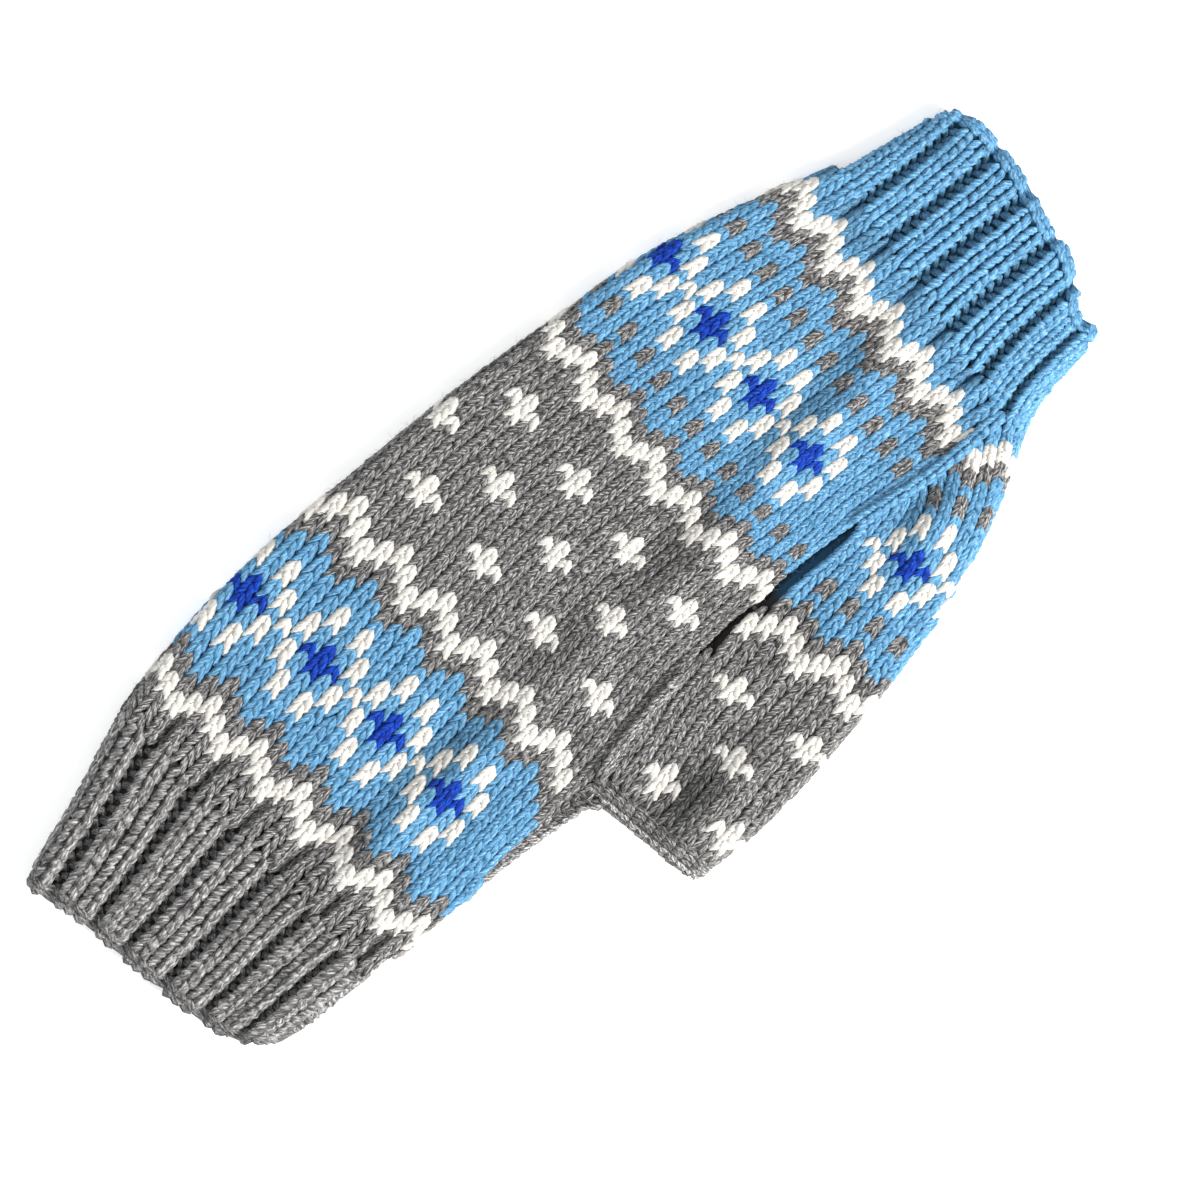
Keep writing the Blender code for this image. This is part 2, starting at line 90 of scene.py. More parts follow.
# Seam and openings
SEAM_RISE = 0.9
SEAM_REACH = 3.6
SEAM_FADE = 12.0
RIDGE_WIDTH = 5.8
RIDGE_RISE = 1.9
RIDGE_ROUND = 1.5
RIDGE_LAST = 15
LOWER_RIDGE_ROWS = (38.8, 50.4)   # a narrower one runs from the leg opening to the belly edging
LOWER_RIDGE_AT = 0.26             # its middle and its width, in ridge widths
LOWER_RIDGE_WIDTH = 0.66
LOWER_RIDGE_PROUD = 0.2
LOWER_RIDGE_TONE = 1.0
SLIT_TOP = 100.0
SLIT_BOTTOM = 13.0
SLIT_WIDTH = 2.2
SLIT_FULLNESS = 0.55
SLIT_BULGE = 1.0          # and it gapes a little more, round this place
SLIT_BULGE_Y = 50.0
SLIT_BULGE_REACH = 10.0
SLIT_END = 2.0            # its edges begin to roll so far past its ends, over so much length
SLIT_ROLLS = 8.0
EDGE_RADIUS = 1.6         # the cloth's edges are rounded
EDGE_TURN = 2.3           # and rolled down this far, in radians
EDGE_ROLLS = 3.0          # over so much length below the chest
EDGING_TOP = -48.0
EDGING_END = -92.5
EDGING_WIDE = 7.6
EDGING_NARROW = 2.2
EDGING_ROUND = 1.2
EDGING_LINKS = 12
EDGING_START = 2.0        # its first link is so far above its top
EDGING_CORNER = -60.0     # its inner strands are darker above this, painted shade of the crumpled corner
EDGING_CORNER_REACH = 12.0
EDGING_LAST = 57          # rows whose last stitch is drawn into the belly edging
CORNER_FLARE = 3.4
CORNER_LENGTH = 2.2
TUCK_GAP = 1.0
TUCK_LENGTH = 2.0
UNDER_SHORTER = 2.0       # the backing ends this far inside the lower layer's last stitches

# Knit rows and columns
BODY_FIRST = -2           # first row of the body, and of the hem's ribbing
BODY_LAST = 76
CHEST_LAST = 50
CHEST_GRID_LAST = CHEST_LAST - 2   # the rows after it are under its cast-off edge
BACK_LAST_COLUMN = 25     # beside the seam; 0 is on the fold and the lower layer's are negative
BACK_COLUMNS_LAID = (-31, 27)
CHEST_COLUMNS_LAID = (-5, 24)
CENTRE = 0.85             # middle of a knit stitch, in rows from the crown of its row

# How far past its panel's edge the middle of a stitch may be
BACK_PAST = 0.5
BACK_ROLLED = 2.0         # and so much more on an open edge
BACK_UNDER_SEAM = 1.2     # on the lower layer: along the seam, the edging and the edge below it
BACK_UNDER_EDGING = -2.4
BACK_UNDER_EDGE = -0.9
CHEST_PAST = 0.6
CHEST_UNDER = 1.2
CHEST_APART = 0.05        # past the edge the columns fall together, and only the first is laid
PAST_UNDER_RIDGE = -1.5   # the ridge covers them, from so far above the leg opening
RIDGE_ABOVE_SLIT = 4.0

# Yarn: radius of a strand
YARN = 1.30
WHITE_YARN = 1.54
RIB_YARN = 1.56
HEM_YARN = 2.00
PURL_YARN = 1.55
RIDGE_YARN = 1.40
LOWER_RIDGE_YARN = 1.15
EDGING_YARN = 1.20
CHEST_CHAIN_YARN = 1.25
CHAIN_YARN = 1.65
YARN_FLAT = 0.95          # height of a strand's section against its width
PLY_RISE = 0.10           # plies stand out of a strand by this share of its radius
PLY_TURN = 2.7            # turn of the plies along one leg of a stitch, in radians
END_REACH = 0.7           # a strand's end is so many radii past its last ring
END_HEIGHT = 0.3          # and shaded as if it were so high
BARE_HEIGHT = 0.75        # strands on an edge are shaded as if at least so high
PROUD = 0.45              # crests of the upper stitches above the cloth's outer face
WHITE_PROUD = 0.35        # and of the white ones above those
CALM = 0.45               # share of its relief that a strand keeps where the cloth stands upright
UPPER_SIDES = 6
LOWER_SIDES = 5

# How far stitches vary, in rows and columns, in share of their size, and in millimetres
STITCH_SHIFT = 0.030
STITCH_SIZE = 0.045
STITCH_LIFT = 0.10
LUMPS = 0.05              # and a strand's thickness along its length

# Loose fibres. Places along one are shares of its length: out of the strand, away, and aside
FUZZ = 1.0                # fibres a strand
FUZZ_LENGTH = (1.5, 5.0)
FUZZ_RADIUS = 0.055
FUZZ_ROOT = 0.2
FUZZ_TAPER = (1.0, 0.9, 0.4)
FUZZ_PLACES = ((0.25, 0.25, 0.0), (0.32, 0.45, 0.3))
FUZZ_BEND = 0.8
FUZZ_SPREAD = 0.9         # how far from a strand's crest they grow
FUZZ_HEIGHT = 0.9
FUZZ_SIDES = 3

# Tones: 1 is a little paler than the yarn, -1 a little darker
PURL_SHADE_TONE = -1.0          # painted shade on the purl stitches deep in the grooves
NECK_TONE = 0.35
HEM_TONE = 0.7
HEM_TONE_ROWS = (71.5, 4.0)   # the body takes this tone on over so many rows
# painted shade on the hem's purl stitches deep in its grooves
HEM_PURL_SHADE_TONE = -1.8
HEM_CHAIN_TONE = -0.5
BODY_GROOVE_SHADE_TONE = -1.5   # painted shade on the back's stitches in the grooves that run into it
CORNER_TONE = 1.2         # the chest's cast-off edge is paler from partway to the fold round onto the lower layer
CORNER_TONE_SHARES = (-0.4, 0.3)
FUZZ_TONE = 0.8
WHITE_TONE = 0.4          # the white yarn takes on this share of a tone
TONE_MIDDLE = 0.5
TONE_SPREAD = 0.16        # how far the tones of strands differ
UV_SPREAD = 9             # and the places of their fibres
CREVICE_SHADE = 0.55      # painted shade: low in a strand its dark colour is so much darker
PLIES = 3
PLY_RELIEF = 0.35

SHARE_STEP = 0.002        # steps for a face's slopes: in shares of the width, columns and rows
COLUMN_STEP = 0.05
ROW_STEP = 0.1
SEED = 7

# Light blue, grey, off-white and royal blue wool, and the hem's grey
LIGHT_BLUE, GREY, WHITE, ROYAL_BLUE, RIB_GREY = range(5)
YARN_NAMES = ("light_blue", "grey", "white", "royal_blue")

# Where each knit row of the back meets the spine fold, the middle and the right-hand edge
BACK_ROWS = np.array([
    # row, fold_x, fold_y, mid_y, edge_y
    (-2, -70, 170, 165, 159), (0, -72.5, 162.5, 157, 151.5), (7, -81, 133.5, 127.5, 122),
    (10, -84, 122.5, 116, 110), (17, -90, 94, 86.5, 85.5), (20, -91.5, 81.5, 74, 73.5),
    (25, -92.5, 63, 56.5, 58.5), (32, -94.8, 36.5, 30, 30.5), (38, -96.5, 11, 8, 9),
    (44, -97.2, -12.5, -13.5, -13), (50, -97.4, -38, -35.5, -37), (57, -97.6, -73, -65.5, -65.5),
    (64, -95.9, -103.5, -97, -94.5), (69, -92.2, -128, -120, -117.5),
    (76, -86.6, -154, -149.5, -148),
])

# Middles of three of the back's columns: row, x of 1, of 13 and of 25
BACK_COLUMNS = np.array([
    (-2, -72.1, -18.8, 38.2), (0, -73.6, -19.2, 37.7), (7, -79.7, -21.4, 34.8),
    (14, -85.2, -23.8, 32.4), (20.5, -88.3, -24.9, 33.3), (25, -89.4, -25.9, 32.9),
    (33, -92.2, -26.4, 33), (39, -93.2, -27, 33.4), (45, -93.2, -25.6, 37), (50, -93, -22.8, 40.6),
    (57, -91.3, -20, 42.8), (61, -89.8, -18.3, 44.2), (65, -87.2, -16.4, 46),
    (68, -84.6, -15.6, 48), (76, -78.5, -14.6, 50),
])
BACK_FIRST_TO_MIDDLE = 12
BACK_MIDDLE_COLUMN = 13

# Where each knit row of the chest meets the seam and the fold, and the middles of two columns
CHEST_ROWS = np.array([
    # row, seam_y, fold_x, fold_y, x of 1, x of 7
    (-2, 159, 49.2, 160.5, 15, 42.6), (0, 150, 52.4, 155, 19.2, 46.9),
    (7, 121, 63.9, 135, 33.6, 61.4), (10, 108.5, 69.2, 124, 40, 67),
    (14, 92, 76.2, 106, 43.8, 73.4), (17, 81.5, 80.6, 93.5, 44.8, 75.6),
    (20, 71.5, 83.6, 80.5, 45.2, 77.6), (25, 51.5, 87.9, 62, 46.6, 81.2),
    (32, 22, 92.6, 33.5, 51.6, 85.6), (38, 1.5, 95.6, 13.5, 53.8, 87.4),
    (44, -17.6, 97.2, -8.6, 59, 91), (50, -44.3, 96.6, -35.6, 64, 93.8),
])
CHEST_FIRST_TO_LAST = 6

# The seam between back and chest, and the belly cut-out: y, x
SEAM = np.array([
    (165, 38.5), (120, 38.2), (98, 35.4), (80, 34.2), (60, 33.9), (50, 34.6), (36, 33.4),
    (13, 34.6), (-5, 36.3), (-20, 38.8), (-34, 42.3), (-47, 47.3),
])
SEAM_END = SEAM[-1, 0]
BELLY = np.array([
    (-47, 50.8), (-62, 49.8), (-76, 48.3), (-93, 47.6), (-120, 47.4), (-150, 46.5),
])

# The ribs. A groove's place is a share of the width, at the free edge and at the body. Rows of
# sides are the share of the way from the free edge (0) to the body (1), and x left and right.
# Rows of edge are x and y of the free edge. rows are the knit rows, and to_body is the sign in
# which they are counted from the free edge to the body. knit_at and purl_at are how far a knit
# column is from its rib's middle and a purl one from its groove's, in ribs.
NECK = SimpleNamespace(
    name="neck", free_row=-15.0, body_row=BODY_FIRST, rows=np.arange(-14.0, -2.0),
    grooves=np.array([(0.08, 0.142), (0.246, 0.282), (0.433, 0.438), (0.622, 0.61),
                      (0.794, 0.786), (0.926, 0.909)]),
    sides=np.array([(0, -60.5, 40.5), (0.25, -61.5, 41.5), (0.6, -64.5, 43.5),
                    (0.85, -67.4, 46.4), (1, -70, 49.2)]),
    edge=np.array([(-60.5, 211.5), (-52, 217.8), (-39, 220), (-18.5, 218.2), (-3, 214.6),
                   (9, 213.6), (19, 208.8), (27.5, 202.4), (32, 202.2), (36.5, 203.8),
                   (40.5, 201.5)]),
    knit_at=0.20, purl_at=0.09, yarn=RIB_YARN, colour=LIGHT_BLUE, tone=NECK_TONE,
    purl_shade_tone=PURL_SHADE_TONE, chain_tone=0.0, to_body=1,
)
HEM = SimpleNamespace(
    name="hem", free_row=90.0, body_row=BODY_LAST, rows=np.arange(76.0, 89.0),
    grooves=np.array([(0.1, 0.122), (0.272, 0.292), (0.394, 0.452), (0.571, 0.611),
                      (0.732, 0.758), (0.864, 0.897)]),
    sides=np.array([(0, -62, 46.2), (0.25, -67.6, 46.6), (0.6, -76, 46), (0.85, -82.9, 46),
                    (1, -86.6, 46.2)]),
    edge=np.array([(-61.5, -221), (-57, -221.3), (-47, -217.8), (-34, -214.6), (-11, -210.9),
                   (19.5, -204.8), (29, -201.5), (38, -194.5), (43.5, -187), (46.2, -176)]),
    knit_at=0.232, purl_at=0.06, yarn=HEM_YARN, colour=RIB_GREY, tone=HEM_TONE,
    purl_shade_tone=HEM_PURL_SHADE_TONE, chain_tone=HEM_CHAIN_TONE, to_body=-1,
)
CHAIN_LINKS = 24
RIB_WALL_INSIDE = 0.4     # a rib's wall ends so many rows inside its free edge
ON_GROUND = 0.01          # columns of the lower layer that are higher are left out

# Swells and dips of the cloth: x, y, turn, length, width, rise
SOFT_FOLDS = np.array([
    (-3, 132, 4, 22, 7, 2.9), (-18, 132, 4, 26, 7, -1.4), (1, 90, -2, 24, 7, 2.9),
    (-14, 94, 0, 24, 7, -1.4), (-50, 100, 12, 34, 12, 0.6), (24, 112, 0, 22, 6, -0.6),
    (8, 40, 3, 26, 7.5, 2.9), (-8, 38, 3, 26, 7.5, -1.4), (-52, -2, -8, 46, 16, 0.6),
    (7, -18, 0, 24, 7.5, 2.6), (-9, -18, 0, 24, 7.5, -1.2), (54, 112, 18, 24, 6, 3),
    (43, 112, 16, 22, 5, -1.4), (79, -8, 4, 26, 7, 4.4), (63, -16, 6, 24, 7.5, -1.5),
    (57, 34, -10, 30, 8, 0.9), (62, 72, 0, 26, 14, 2), (12, -76, -3, 28, 7.5, 3.6),
    (-4, -78, 0, 30, 7.5, -1.5), (13, -124, 4, 24, 7.5, 3.4), (-3, -122, 4, 24, 7.5, -1.3),
    (35, -82, -4, 36, 9, 1.8), (-22, -146, 62, 30, 9, -0.8), (-60, -118, -14, 34, 13, 0.6),
    (35, -142, 0, 36, 9, 2.4), (34, -184, 6, 24, 9, 2.4), (10, -166, 2, 22, 9, 1.4),
    (-8, 200, 0, 40, 28, 3),
])

# Painted shade and light on the wool: darker where soft folds, the neck's grooves, a crease below
# the neck and the seam ridge's left flank fall in shade, paler on the chest's fold edge that faces
# the light. x, y, width, length, tone
SHADE_AND_LIGHT_PATCHES = np.array([
    (-7, 106, 6.5, 26, -1.2), (-16, 136, 10, 7, -0.7), (46, 112, 6, 16, -0.9),
    (30, 133, 9, 8, -0.6), (0, 38, 7, 22, -1.4), (-2, -18, 7, 12, -0.8), (66, -2, 10, 20, -0.5),
    (94, -26, 5, 12, 1), (70.5, -21, 10, 13, -2), (3, -72, 6.5, 28, -1.5), (6, -124, 9, 10, -1.3),
    (3, -162, 9, 18, -0.7), (50, 42, 16, 9, -0.4), (-49.5, 204, 4, 14, -1.1),
    (-35, 206, 4, 14, -0.7), (-44, 158.5, 11, 4, -0.8), (32.5, 5, 2.6, 9, -1.5),
    (34.5, -10, 2.6, 9, -1.5), (37.5, -24, 2.6, 9, -1.5), (42, -37, 2.6, 8, -1.5),
])

# Strands, from end to end: along in rows, across in columns, height in millimetres from the
# crest, and thickness as a share of the yarn's. First the two legs of a knit stitch, from the
# crown to the foot, in the body and in ribs and ridges.
LEGS = (
    np.array([(-0.98, 0, -0.62, 0.52), (-0.7, -0.08, -0.15, 0.86), (-0.34, -0.17, 0, 1.05),
              (0.08, -0.255, -0.12, 1.08), (0.46, -0.33, -0.6, 1), (0.78, -0.395, -1.3, 0.76)]),
    np.array([(-1, -0.01, -0.58, 0.54), (-0.7, 0.07, -0.02, 0.9), (-0.34, 0.165, 0.2, 1.14),
              (0.04, 0.28, 0, 1.15), (0.36, 0.38, -0.62, 1.03), (0.66, 0.465, -1.4, 0.76)]),
)
RIB_LEGS = (
    np.array([(-0.8, -0.08, -1.1, 0.5), (-0.52, -0.16, -0.2, 0.92), (-0.18, -0.24, 0.12, 1.1),
              (0.14, -0.29, -0.25, 1.08), (0.42, -0.332, -0.95, 0.95), (0.66, -0.36, -1.8, 0.7)]),
    np.array([(-0.82, 0.07, -1.05, 0.52), (-0.52, 0.15, -0.1, 0.94), (-0.2, 0.235, 0.22, 1.13),
              (0.1, 0.292, -0.12, 1.12), (0.38, 0.332, -0.9, 0.97), (0.62, 0.36, -1.8, 0.7)]),
)
# The arc that a purl stitch shows
PURL_ARC = np.array([
    (0.34, -0.6, -0.9, 0.6), (0.06, -0.36, -0.2, 0.95), (-0.1, 0, 0, 1.08),
    (0.06, 0.36, -0.2, 0.95), (0.34, 0.6, -0.9, 0.6),
])
# The two strands of a link in a cast-off chain: along is towards the body, across along the edge
CHAIN_OUTER = np.array([
    (0.3, -0.72, -1.2, 0.6), (0.16, -0.45, -0.8, 0.95), (0.1, -0.1, -0.65, 1.08),
    (0.14, 0.25, -0.8, 1), (0.3, 0.62, -1.3, 0.55),
])
CHAIN_INNER = np.array([
    (0.46, -0.68, -0.6, 0.6), (0.62, -0.4, -0.1, 0.95), (0.72, -0.05, 0, 1.08),
    (0.68, 0.28, -0.2, 1), (0.48, 0.62, -0.8, 0.55),
])
# A link of the belly edging: along is down the edge, across leans over it
EDGING_LINK = np.array([
    (-0.66, 1, -0.9, 0.55), (-0.36, 0.6, -0.2, 0.95), (0, 0, 0, 1.08), (0.36, -0.6, -0.25, 0.98),
    (0.66, -1, -1, 0.55),
])
# The edging's strands: share of its width, lean, height, and tone in its corner and below
EDGING_STRANDS = ((0.04, 0.14, -1.3, -1.8, 0.2), (0.30, -0.12, -0.9, -1.0, 0.9),
                  (0.56, 0.10, -0.6, -1.8, 0.2), (0.84, 0.04, 0.1, 0.8, 2.4))
# The chest's cast-off edge: its strands' shape, how far out in rows and up in millimetres, and
# tone, then for each layer the shares of the width that it runs between and its row
CHEST_STRANDS = ((CHAIN_OUTER, 0.05, 1.6), (CHAIN_INNER, 0.16, -1.0), (CHAIN_INNER, -0.26, 0.2),
                 (CHAIN_INNER, -0.7, -0.8), (CHAIN_INNER, -1.2, -0.8))
CHEST_CHAINS = ((True, -1, 0.1, CHEST_LAST - 0.1), (False, 0.1, 1, CHEST_LAST + 0.25))
CHEST_LINKS = 13

# Small charts, one letter a stitch: w white, r royal blue, g grey
FLOWER = ("..w.w..",
          "..w.w..",
          ".w...w.",
          ".w.r.w.",
          "w.rrr.w",
          ".w.r.w.",
          ".w...w.",
          "..w.w..",
          "..w.w..")
CROSS = (".w.",
         "www",
         ".w.")
SEEDS = ("g",
         "g")
ZIGZAG_HALF = 2           # columns from a peak to the next valley
CHART_YARNS = {"w": WHITE, "r": ROYAL_BLUE, "g": GREY}
BACK_MOTIFS = (-24, 22)
CHEST_MOTIFS = (4, 13)
CHEST_CHART_SHIFT = 3     # columns between the chest's place in the charts and the back's
MOTIFS = (
    # first row, middle column, repeat, chart
    (7, 0, 2, SEEDS),
    (10, 1, 6, FLOWER),
    (20, 0, 2, SEEDS),
    (32, 4, 6, CROSS),
    (38, 1, 6, CROSS),
    (44, 4, 6, CROSS),
    (57, 1, 6, FLOWER),
)
ZIGZAGS = (
    # first row, peak column, yarn of the first two rows, of the next two, and of the ground after
    (0, 2, WHITE, GREY, LIGHT_BLUE),
    (23, 0, GREY, WHITE, GREY),
    (50, 2, WHITE, GREY, LIGHT_BLUE),
    (67, 0, GREY, WHITE, GREY),
)

# Stretches of the body, each with pieces of its own: name, first row, last row
STRETCHES = (("shoulder", -2, 24), ("saddle", 25, 52), ("hip", 53, 75))
BLUE_ROWS = ((-16, 24.5), (54.5, 70))   # rows with light blue ground

# Stage, in metres and degrees
FLOOR_HALF = 3.0
FLOOR_Z = -1e-4
LIGHTS = (
    # name, place, size, power, colour
    ("key", (1.15, 0.45, 0.95), 0.7, 38.0, (1.0, 0.99, 0.97)),
    ("fill", (-0.5, -0.6, 1.5), 1.6, 11.0, (0.95, 0.98, 1.0)),
)
WORLD_STRENGTH = 0.55
CAMERA_AT = (-0.0038, 0.0039, 1.3)
CAMERA_TURN = 49.8
CAMERA_SENSOR = 36.0
GROUND_ACROSS = 0.438     # width of the ground in the picture

random = np.random.default_rng(SEED)


# ---------------------------------------------------------------- the cloth's outer face


def smooth_at(places, values, at):
    """A cubic through the table's points, with each slope taken from the two neighbours, and
    straight on past both ends."""
    if places[0] > places[-1]:
        places, values = places[::-1], values[::-1]
    wanted, at = at, np.clip(at, places[0], places[-1])
    slopes = np.gradient(values, places)
    i = np.clip(np.searchsorted(places, at, side="right") - 1, 0, len(places) - 2)
    step = places[i + 1] - places[i]
    t = (at - places[i]) / step
    inside = (values[i] * (2 * t**3 - 3 * t**2 + 1) + slopes[i] * step * (t**3 - 2 * t**2 + t)
              + values[i + 1] * (3 * t**2 - 2 * t**3) + slopes[i + 1] * step * (t**3 - t**2))
    return inside + (wanted - at) * np.where(wanted < at, slopes[0], slopes[-1])


def look_up(table, at, *columns):
    """Values from these columns of a table, at places along its first column."""
    return [smooth_at(table[:, 0], table[:, column], at) for column in columns]


def smooth_step(t):
    """0 up to t = 0, 1 from t = 1, with a soft rise between."""
    t = np.clip(t, 0, 1)
    return t * t * (3 - 2 * t)


def seam_x(y):
    """The line between back and chest."""
    return smooth_at(*SEAM.T, y)


def seam_half_gap(y):
    """Half the distance between back and chest: a join, or the open slit for a leg."""
    along = np.clip((y - SLIT_BOTTOM) / (SLIT_TOP - SLIT_BOTTOM), 0, 1)
    bulge = SLIT_BULGE * np.exp(-((y - SLIT_BULGE_Y) / SLIT_BULGE_REACH) ** 2)
    return (JOIN + (SLIT_WIDTH - JOIN) * np.sin(np.pi * along) ** SLIT_FULLNESS + bulge) / 2


def corner_flare(y):
    """How far the belly edge runs out into the corner with the chest's edge."""
    return CORNER_FLARE * np.exp(-np.maximum(SEAM_END - y, 0) / CORNER_LENGTH)


def belly_x(y):
    """The garment's edge along the belly cut-out."""
    return smooth_at(*BELLY.T, y) + corner_flare(y)


def edging_width(y):
    """The belly edging narrows from the chest to where it is tucked under."""
    along = np.clip((EDGING_TOP - y) / (EDGING_TOP - EDGING_END), 0, 1)
    return EDGING_WIDE + (EDGING_NARROW - EDGING_WIDE) * along + corner_flare(y)


def back_edge_x(y):
    """The back's right-hand edge: the seam, then the belly edge less its edging, then the edge."""
    beside_edging = belly_x(y) - edging_width(y) - JOIN
    turned_under = smooth_step((EDGING_END - TUCK_GAP - y) / TUCK_LENGTH)
    free_edge = beside_edging + (edging_width(y) + JOIN) * turned_under
    sewn_edge = seam_x(y) - seam_half_gap(y)
    return np.where(y > SEAM_END, np.minimum(sewn_edge, belly_x(SEAM_END)), free_edge)


def chest_edge_x(y):
    """The chest's edge along the seam and the leg opening."""
    return seam_x(y) + seam_half_gap(y)


def air(x, y, from_fold):
    """Air between the layers: more beside a fold, with a bell-shaped dip or swell a soft fold."""
    depth = AIR_MIDDLE + (AIR_FOLD - AIR_MIDDLE) * np.exp(-(from_fold / FOLD_REACH) ** 2)
    quiet = 1 - np.exp(-(from_fold / FOLD_CALM) ** 2)
    for centre_x, centre_y, turn, length, width, rise in SOFT_FOLDS:
        angle = np.radians(turn)
        across = (x - centre_x) * np.cos(angle) + (y - centre_y) * np.sin(angle)
        along = (y - centre_y) * np.cos(angle) - (x - centre_x) * np.sin(angle)
        depth = depth + quiet * rise * np.exp(-(across / width) ** 2 - (along / length) ** 2)
    return np.maximum(depth, AIR_LEAST)


def upper_face(x, y, from_fold=FAR):
    """Height of a panel's upper layer. It rises a little to the ridge over the seam."""
    to_seam = SEAM_RISE * smooth_step((y - SLIT_TOP) / SEAM_FADE + 0.5)
    return (2 * WALL + air(x, y, from_fold)
            + to_seam * np.exp(-((x - seam_x(y)) / SEAM_REACH) ** 2))


def round_fold(beyond):
    """A section's way round a fold, for places counted along the cloth from where it turns down.

    Returns how far out from there each place is, its height in the fold and on the lower layer,
    and whether it is on the upper layer instead, where the air sets the height.
    """
    turn = np.clip(beyond / FOLD_RADIUS, 0, np.pi)
    under = np.where(beyond > 2 * HALF_FOLD, 2 * HALF_FOLD - beyond, FOLD_RADIUS * np.sin(turn))
    out = np.where(beyond < 0, beyond, under)
    return out, FOLD_RADIUS * (1 + np.cos(turn)), beyond < 0


def round_edge(past, open_share):
    """A section's way over a rounded edge, for places counted from where the rounding starts.

    open_share is 1 on an open edge, and 0 where it is sewn and lies flat. Returns how far on and
    how far down each place is.
    """
    turn = np.clip(past / EDGE_RADIUS, 0, EDGE_TURN)
    rolled = np.where(past < 0, past, EDGE_RADIUS * np.sin(turn))
    return past + (rolled - past) * open_share, EDGE_RADIUS * (1 - np.cos(turn)) * open_share


def slit_open(y):
    """1 along the leg opening, 0 where back and chest are sewn together."""
    return (smooth_step((SLIT_TOP + SLIT_END - y) / SLIT_ROLLS)
            * smooth_step((y - SLIT_BOTTOM + SLIT_END) / SLIT_ROLLS))


def across_back(fold_y, mid_y, edge_y, across):
    """A row's Y at a share of the back's width, from its fold, middle and edge."""
    return (fold_y * (1 - across) * (1 - 2 * across) + 4 * mid_y * across * (1 - across)
            + edge_y * across * (2 * across - 1))


def on_panel(fold_x, edge_x, way, free, row_y, beyond):
    """A panel's outer face, by the way along the cloth from where it turns down at the fold.

    way is the sign in X from the fold to the edge, free how open the edge is, and row_y a row's Y
    by share of the width.
    """
    out, height, on_top = round_fold(beyond)
    flat_x = fold_x + way * (FOLD_RADIUS - out)
    rim_x = edge_x - way * EDGE_RADIUS
    on, down = round_edge(way * (flat_x - rim_x), free)
    x = np.where(on_top, rim_x + way * on, flat_x)
    y = row_y((x - fold_x) / (edge_x - fold_x))
    top = upper_face(x, y, way * (x - fold_x) - FOLD_RADIUS) - down
    return np.stack([x, y, np.where(on_top, top, height)], axis=-1)


def on_back(row, beyond):
    """The back's outer face, as on_panel has it."""
    fold_x, *row_places = look_up(BACK_ROWS, row, 1, 2, 3, 4)
    edge_y = row_places[-1]
    free = np.maximum(slit_open(edge_y), smooth_step((EDGING_TOP - edge_y) / EDGE_ROLLS))
    return on_panel(fold_x, back_edge_x(edge_y), 1, free, partial(across_back, *row_places),
                    beyond)


def back_flat_x(row, column):
    """Place of a column on the spread cloth: it goes on past the fold and the edge."""
    first, middle, last = look_up(BACK_COLUMNS, row, 1, 2, 3)
    across = (column - BACK_MIDDLE_COLUMN) / BACK_FIRST_TO_MIDDLE
    bend = (first + last) / 2 - middle
    slope = (last - first) / 2
    return np.where(across > -1, middle + slope * across + bend * across**2,
                    first + (slope - 2 * bend) * (across + 1))


def body_ribs(row, column, wave):
    """A wave of the place counted in ribs, as strong as the neck's and the hem's ribs show in
    the back."""
    return (smooth_step((NECK_RIBS_END - row) / NECK_RIBS_FADE)
            * wave((column - NECK_BODY_COLUMN) / BODY_COLUMNS_A_RIB)
            + smooth_step((row - HEM_RIBS_START) / HEM_RIBS_FADE)
            * wave((column - HEM_BODY_COLUMN) / BODY_COLUMNS_A_RIB))


def painted_patch_tone(points):
    """Painted shade and light at these points, as a tone."""
    tone = np.zeros(points.shape[:-1])
    for x, y, width, length, change in SHADE_AND_LIGHT_PATCHES:
        tone += change * np.exp(-((points[..., 0] - x) / width) ** 2
                                - ((points[..., 1] - y) / length) ** 2)
    return tone


def back_face(row, column):
    """The back's outer face: column 0 on the fold, 25 beside the seam, negative ones below. The
    ribs run on into it from both ends."""
    pinch = body_ribs(row, column, lambda place: np.sin(2 * np.pi * place))
    flat_x = back_flat_x(row, column - RIB_PINCH * pinch)
    fold_x, = look_up(BACK_ROWS, row, 1)
    points = on_back(row, fold_x + FOLD_RADIUS - flat_x)
    flat = smooth_step((flat_x - fold_x) / FOLD_RADIUS)
    points[..., 2] += flat * body_ribs(row, column, groove_wave)
    return points


def back_share(row, share):
    """The back's outer face by share of its width: 1 at the edge on top, -1 at the one below,
    where the leg openings are closed."""
    fold_x, edge_y = look_up(BACK_ROWS, row, 1, 4)
    beyond = np.where(edge_y > SEAM_END, seam_half_gap(edge_y),
                      -UNDER_SHORTER * smooth_step((EDGING_END - edge_y) / TUCK_LENGTH))
    width = (HALF_FOLD + back_edge_x(edge_y) - (fold_x + FOLD_RADIUS)
             + np.where(share < 0, beyond, 0))
    return on_back(row, HALF_FOLD - share * width)


def on_chest(row, beyond):
    """The chest's outer face, as on_panel has it."""
    seam_y, fold_x, fold_y = look_up(CHEST_ROWS, row, 1, 2, 3)
    return on_panel(fold_x, chest_edge_x(seam_y), -1, slit_open(seam_y),
                    lambda share: fold_y + (seam_y - fold_y) * share, beyond)


def chest_face(row, column):
    """The chest's outer face: column 0 beside the leg opening, 8 beside the fold, more below."""
    fold_x, first, last = look_up(CHEST_ROWS, row, 2, 4, 5)
    flat_x = first + (last - first) * (column - 1) / CHEST_FIRST_TO_LAST
    return on_chest(row, flat_x - fold_x + FOLD_RADIUS)


def chest_share(row, share):
    """The chest's outer face by share of its width: -1 at the seam on top, 1 at the one below,
    where the leg openings are closed."""
    seam_y, fold_x = look_up(CHEST_ROWS, row, 1, 2)
    width = (HALF_FOLD + (fold_x - FOLD_RADIUS) - seam_x(seam_y)
             - np.where(share > 0, 0, seam_half_gap(seam_y)))
    return on_chest(row, HALF_FOLD + share * width)


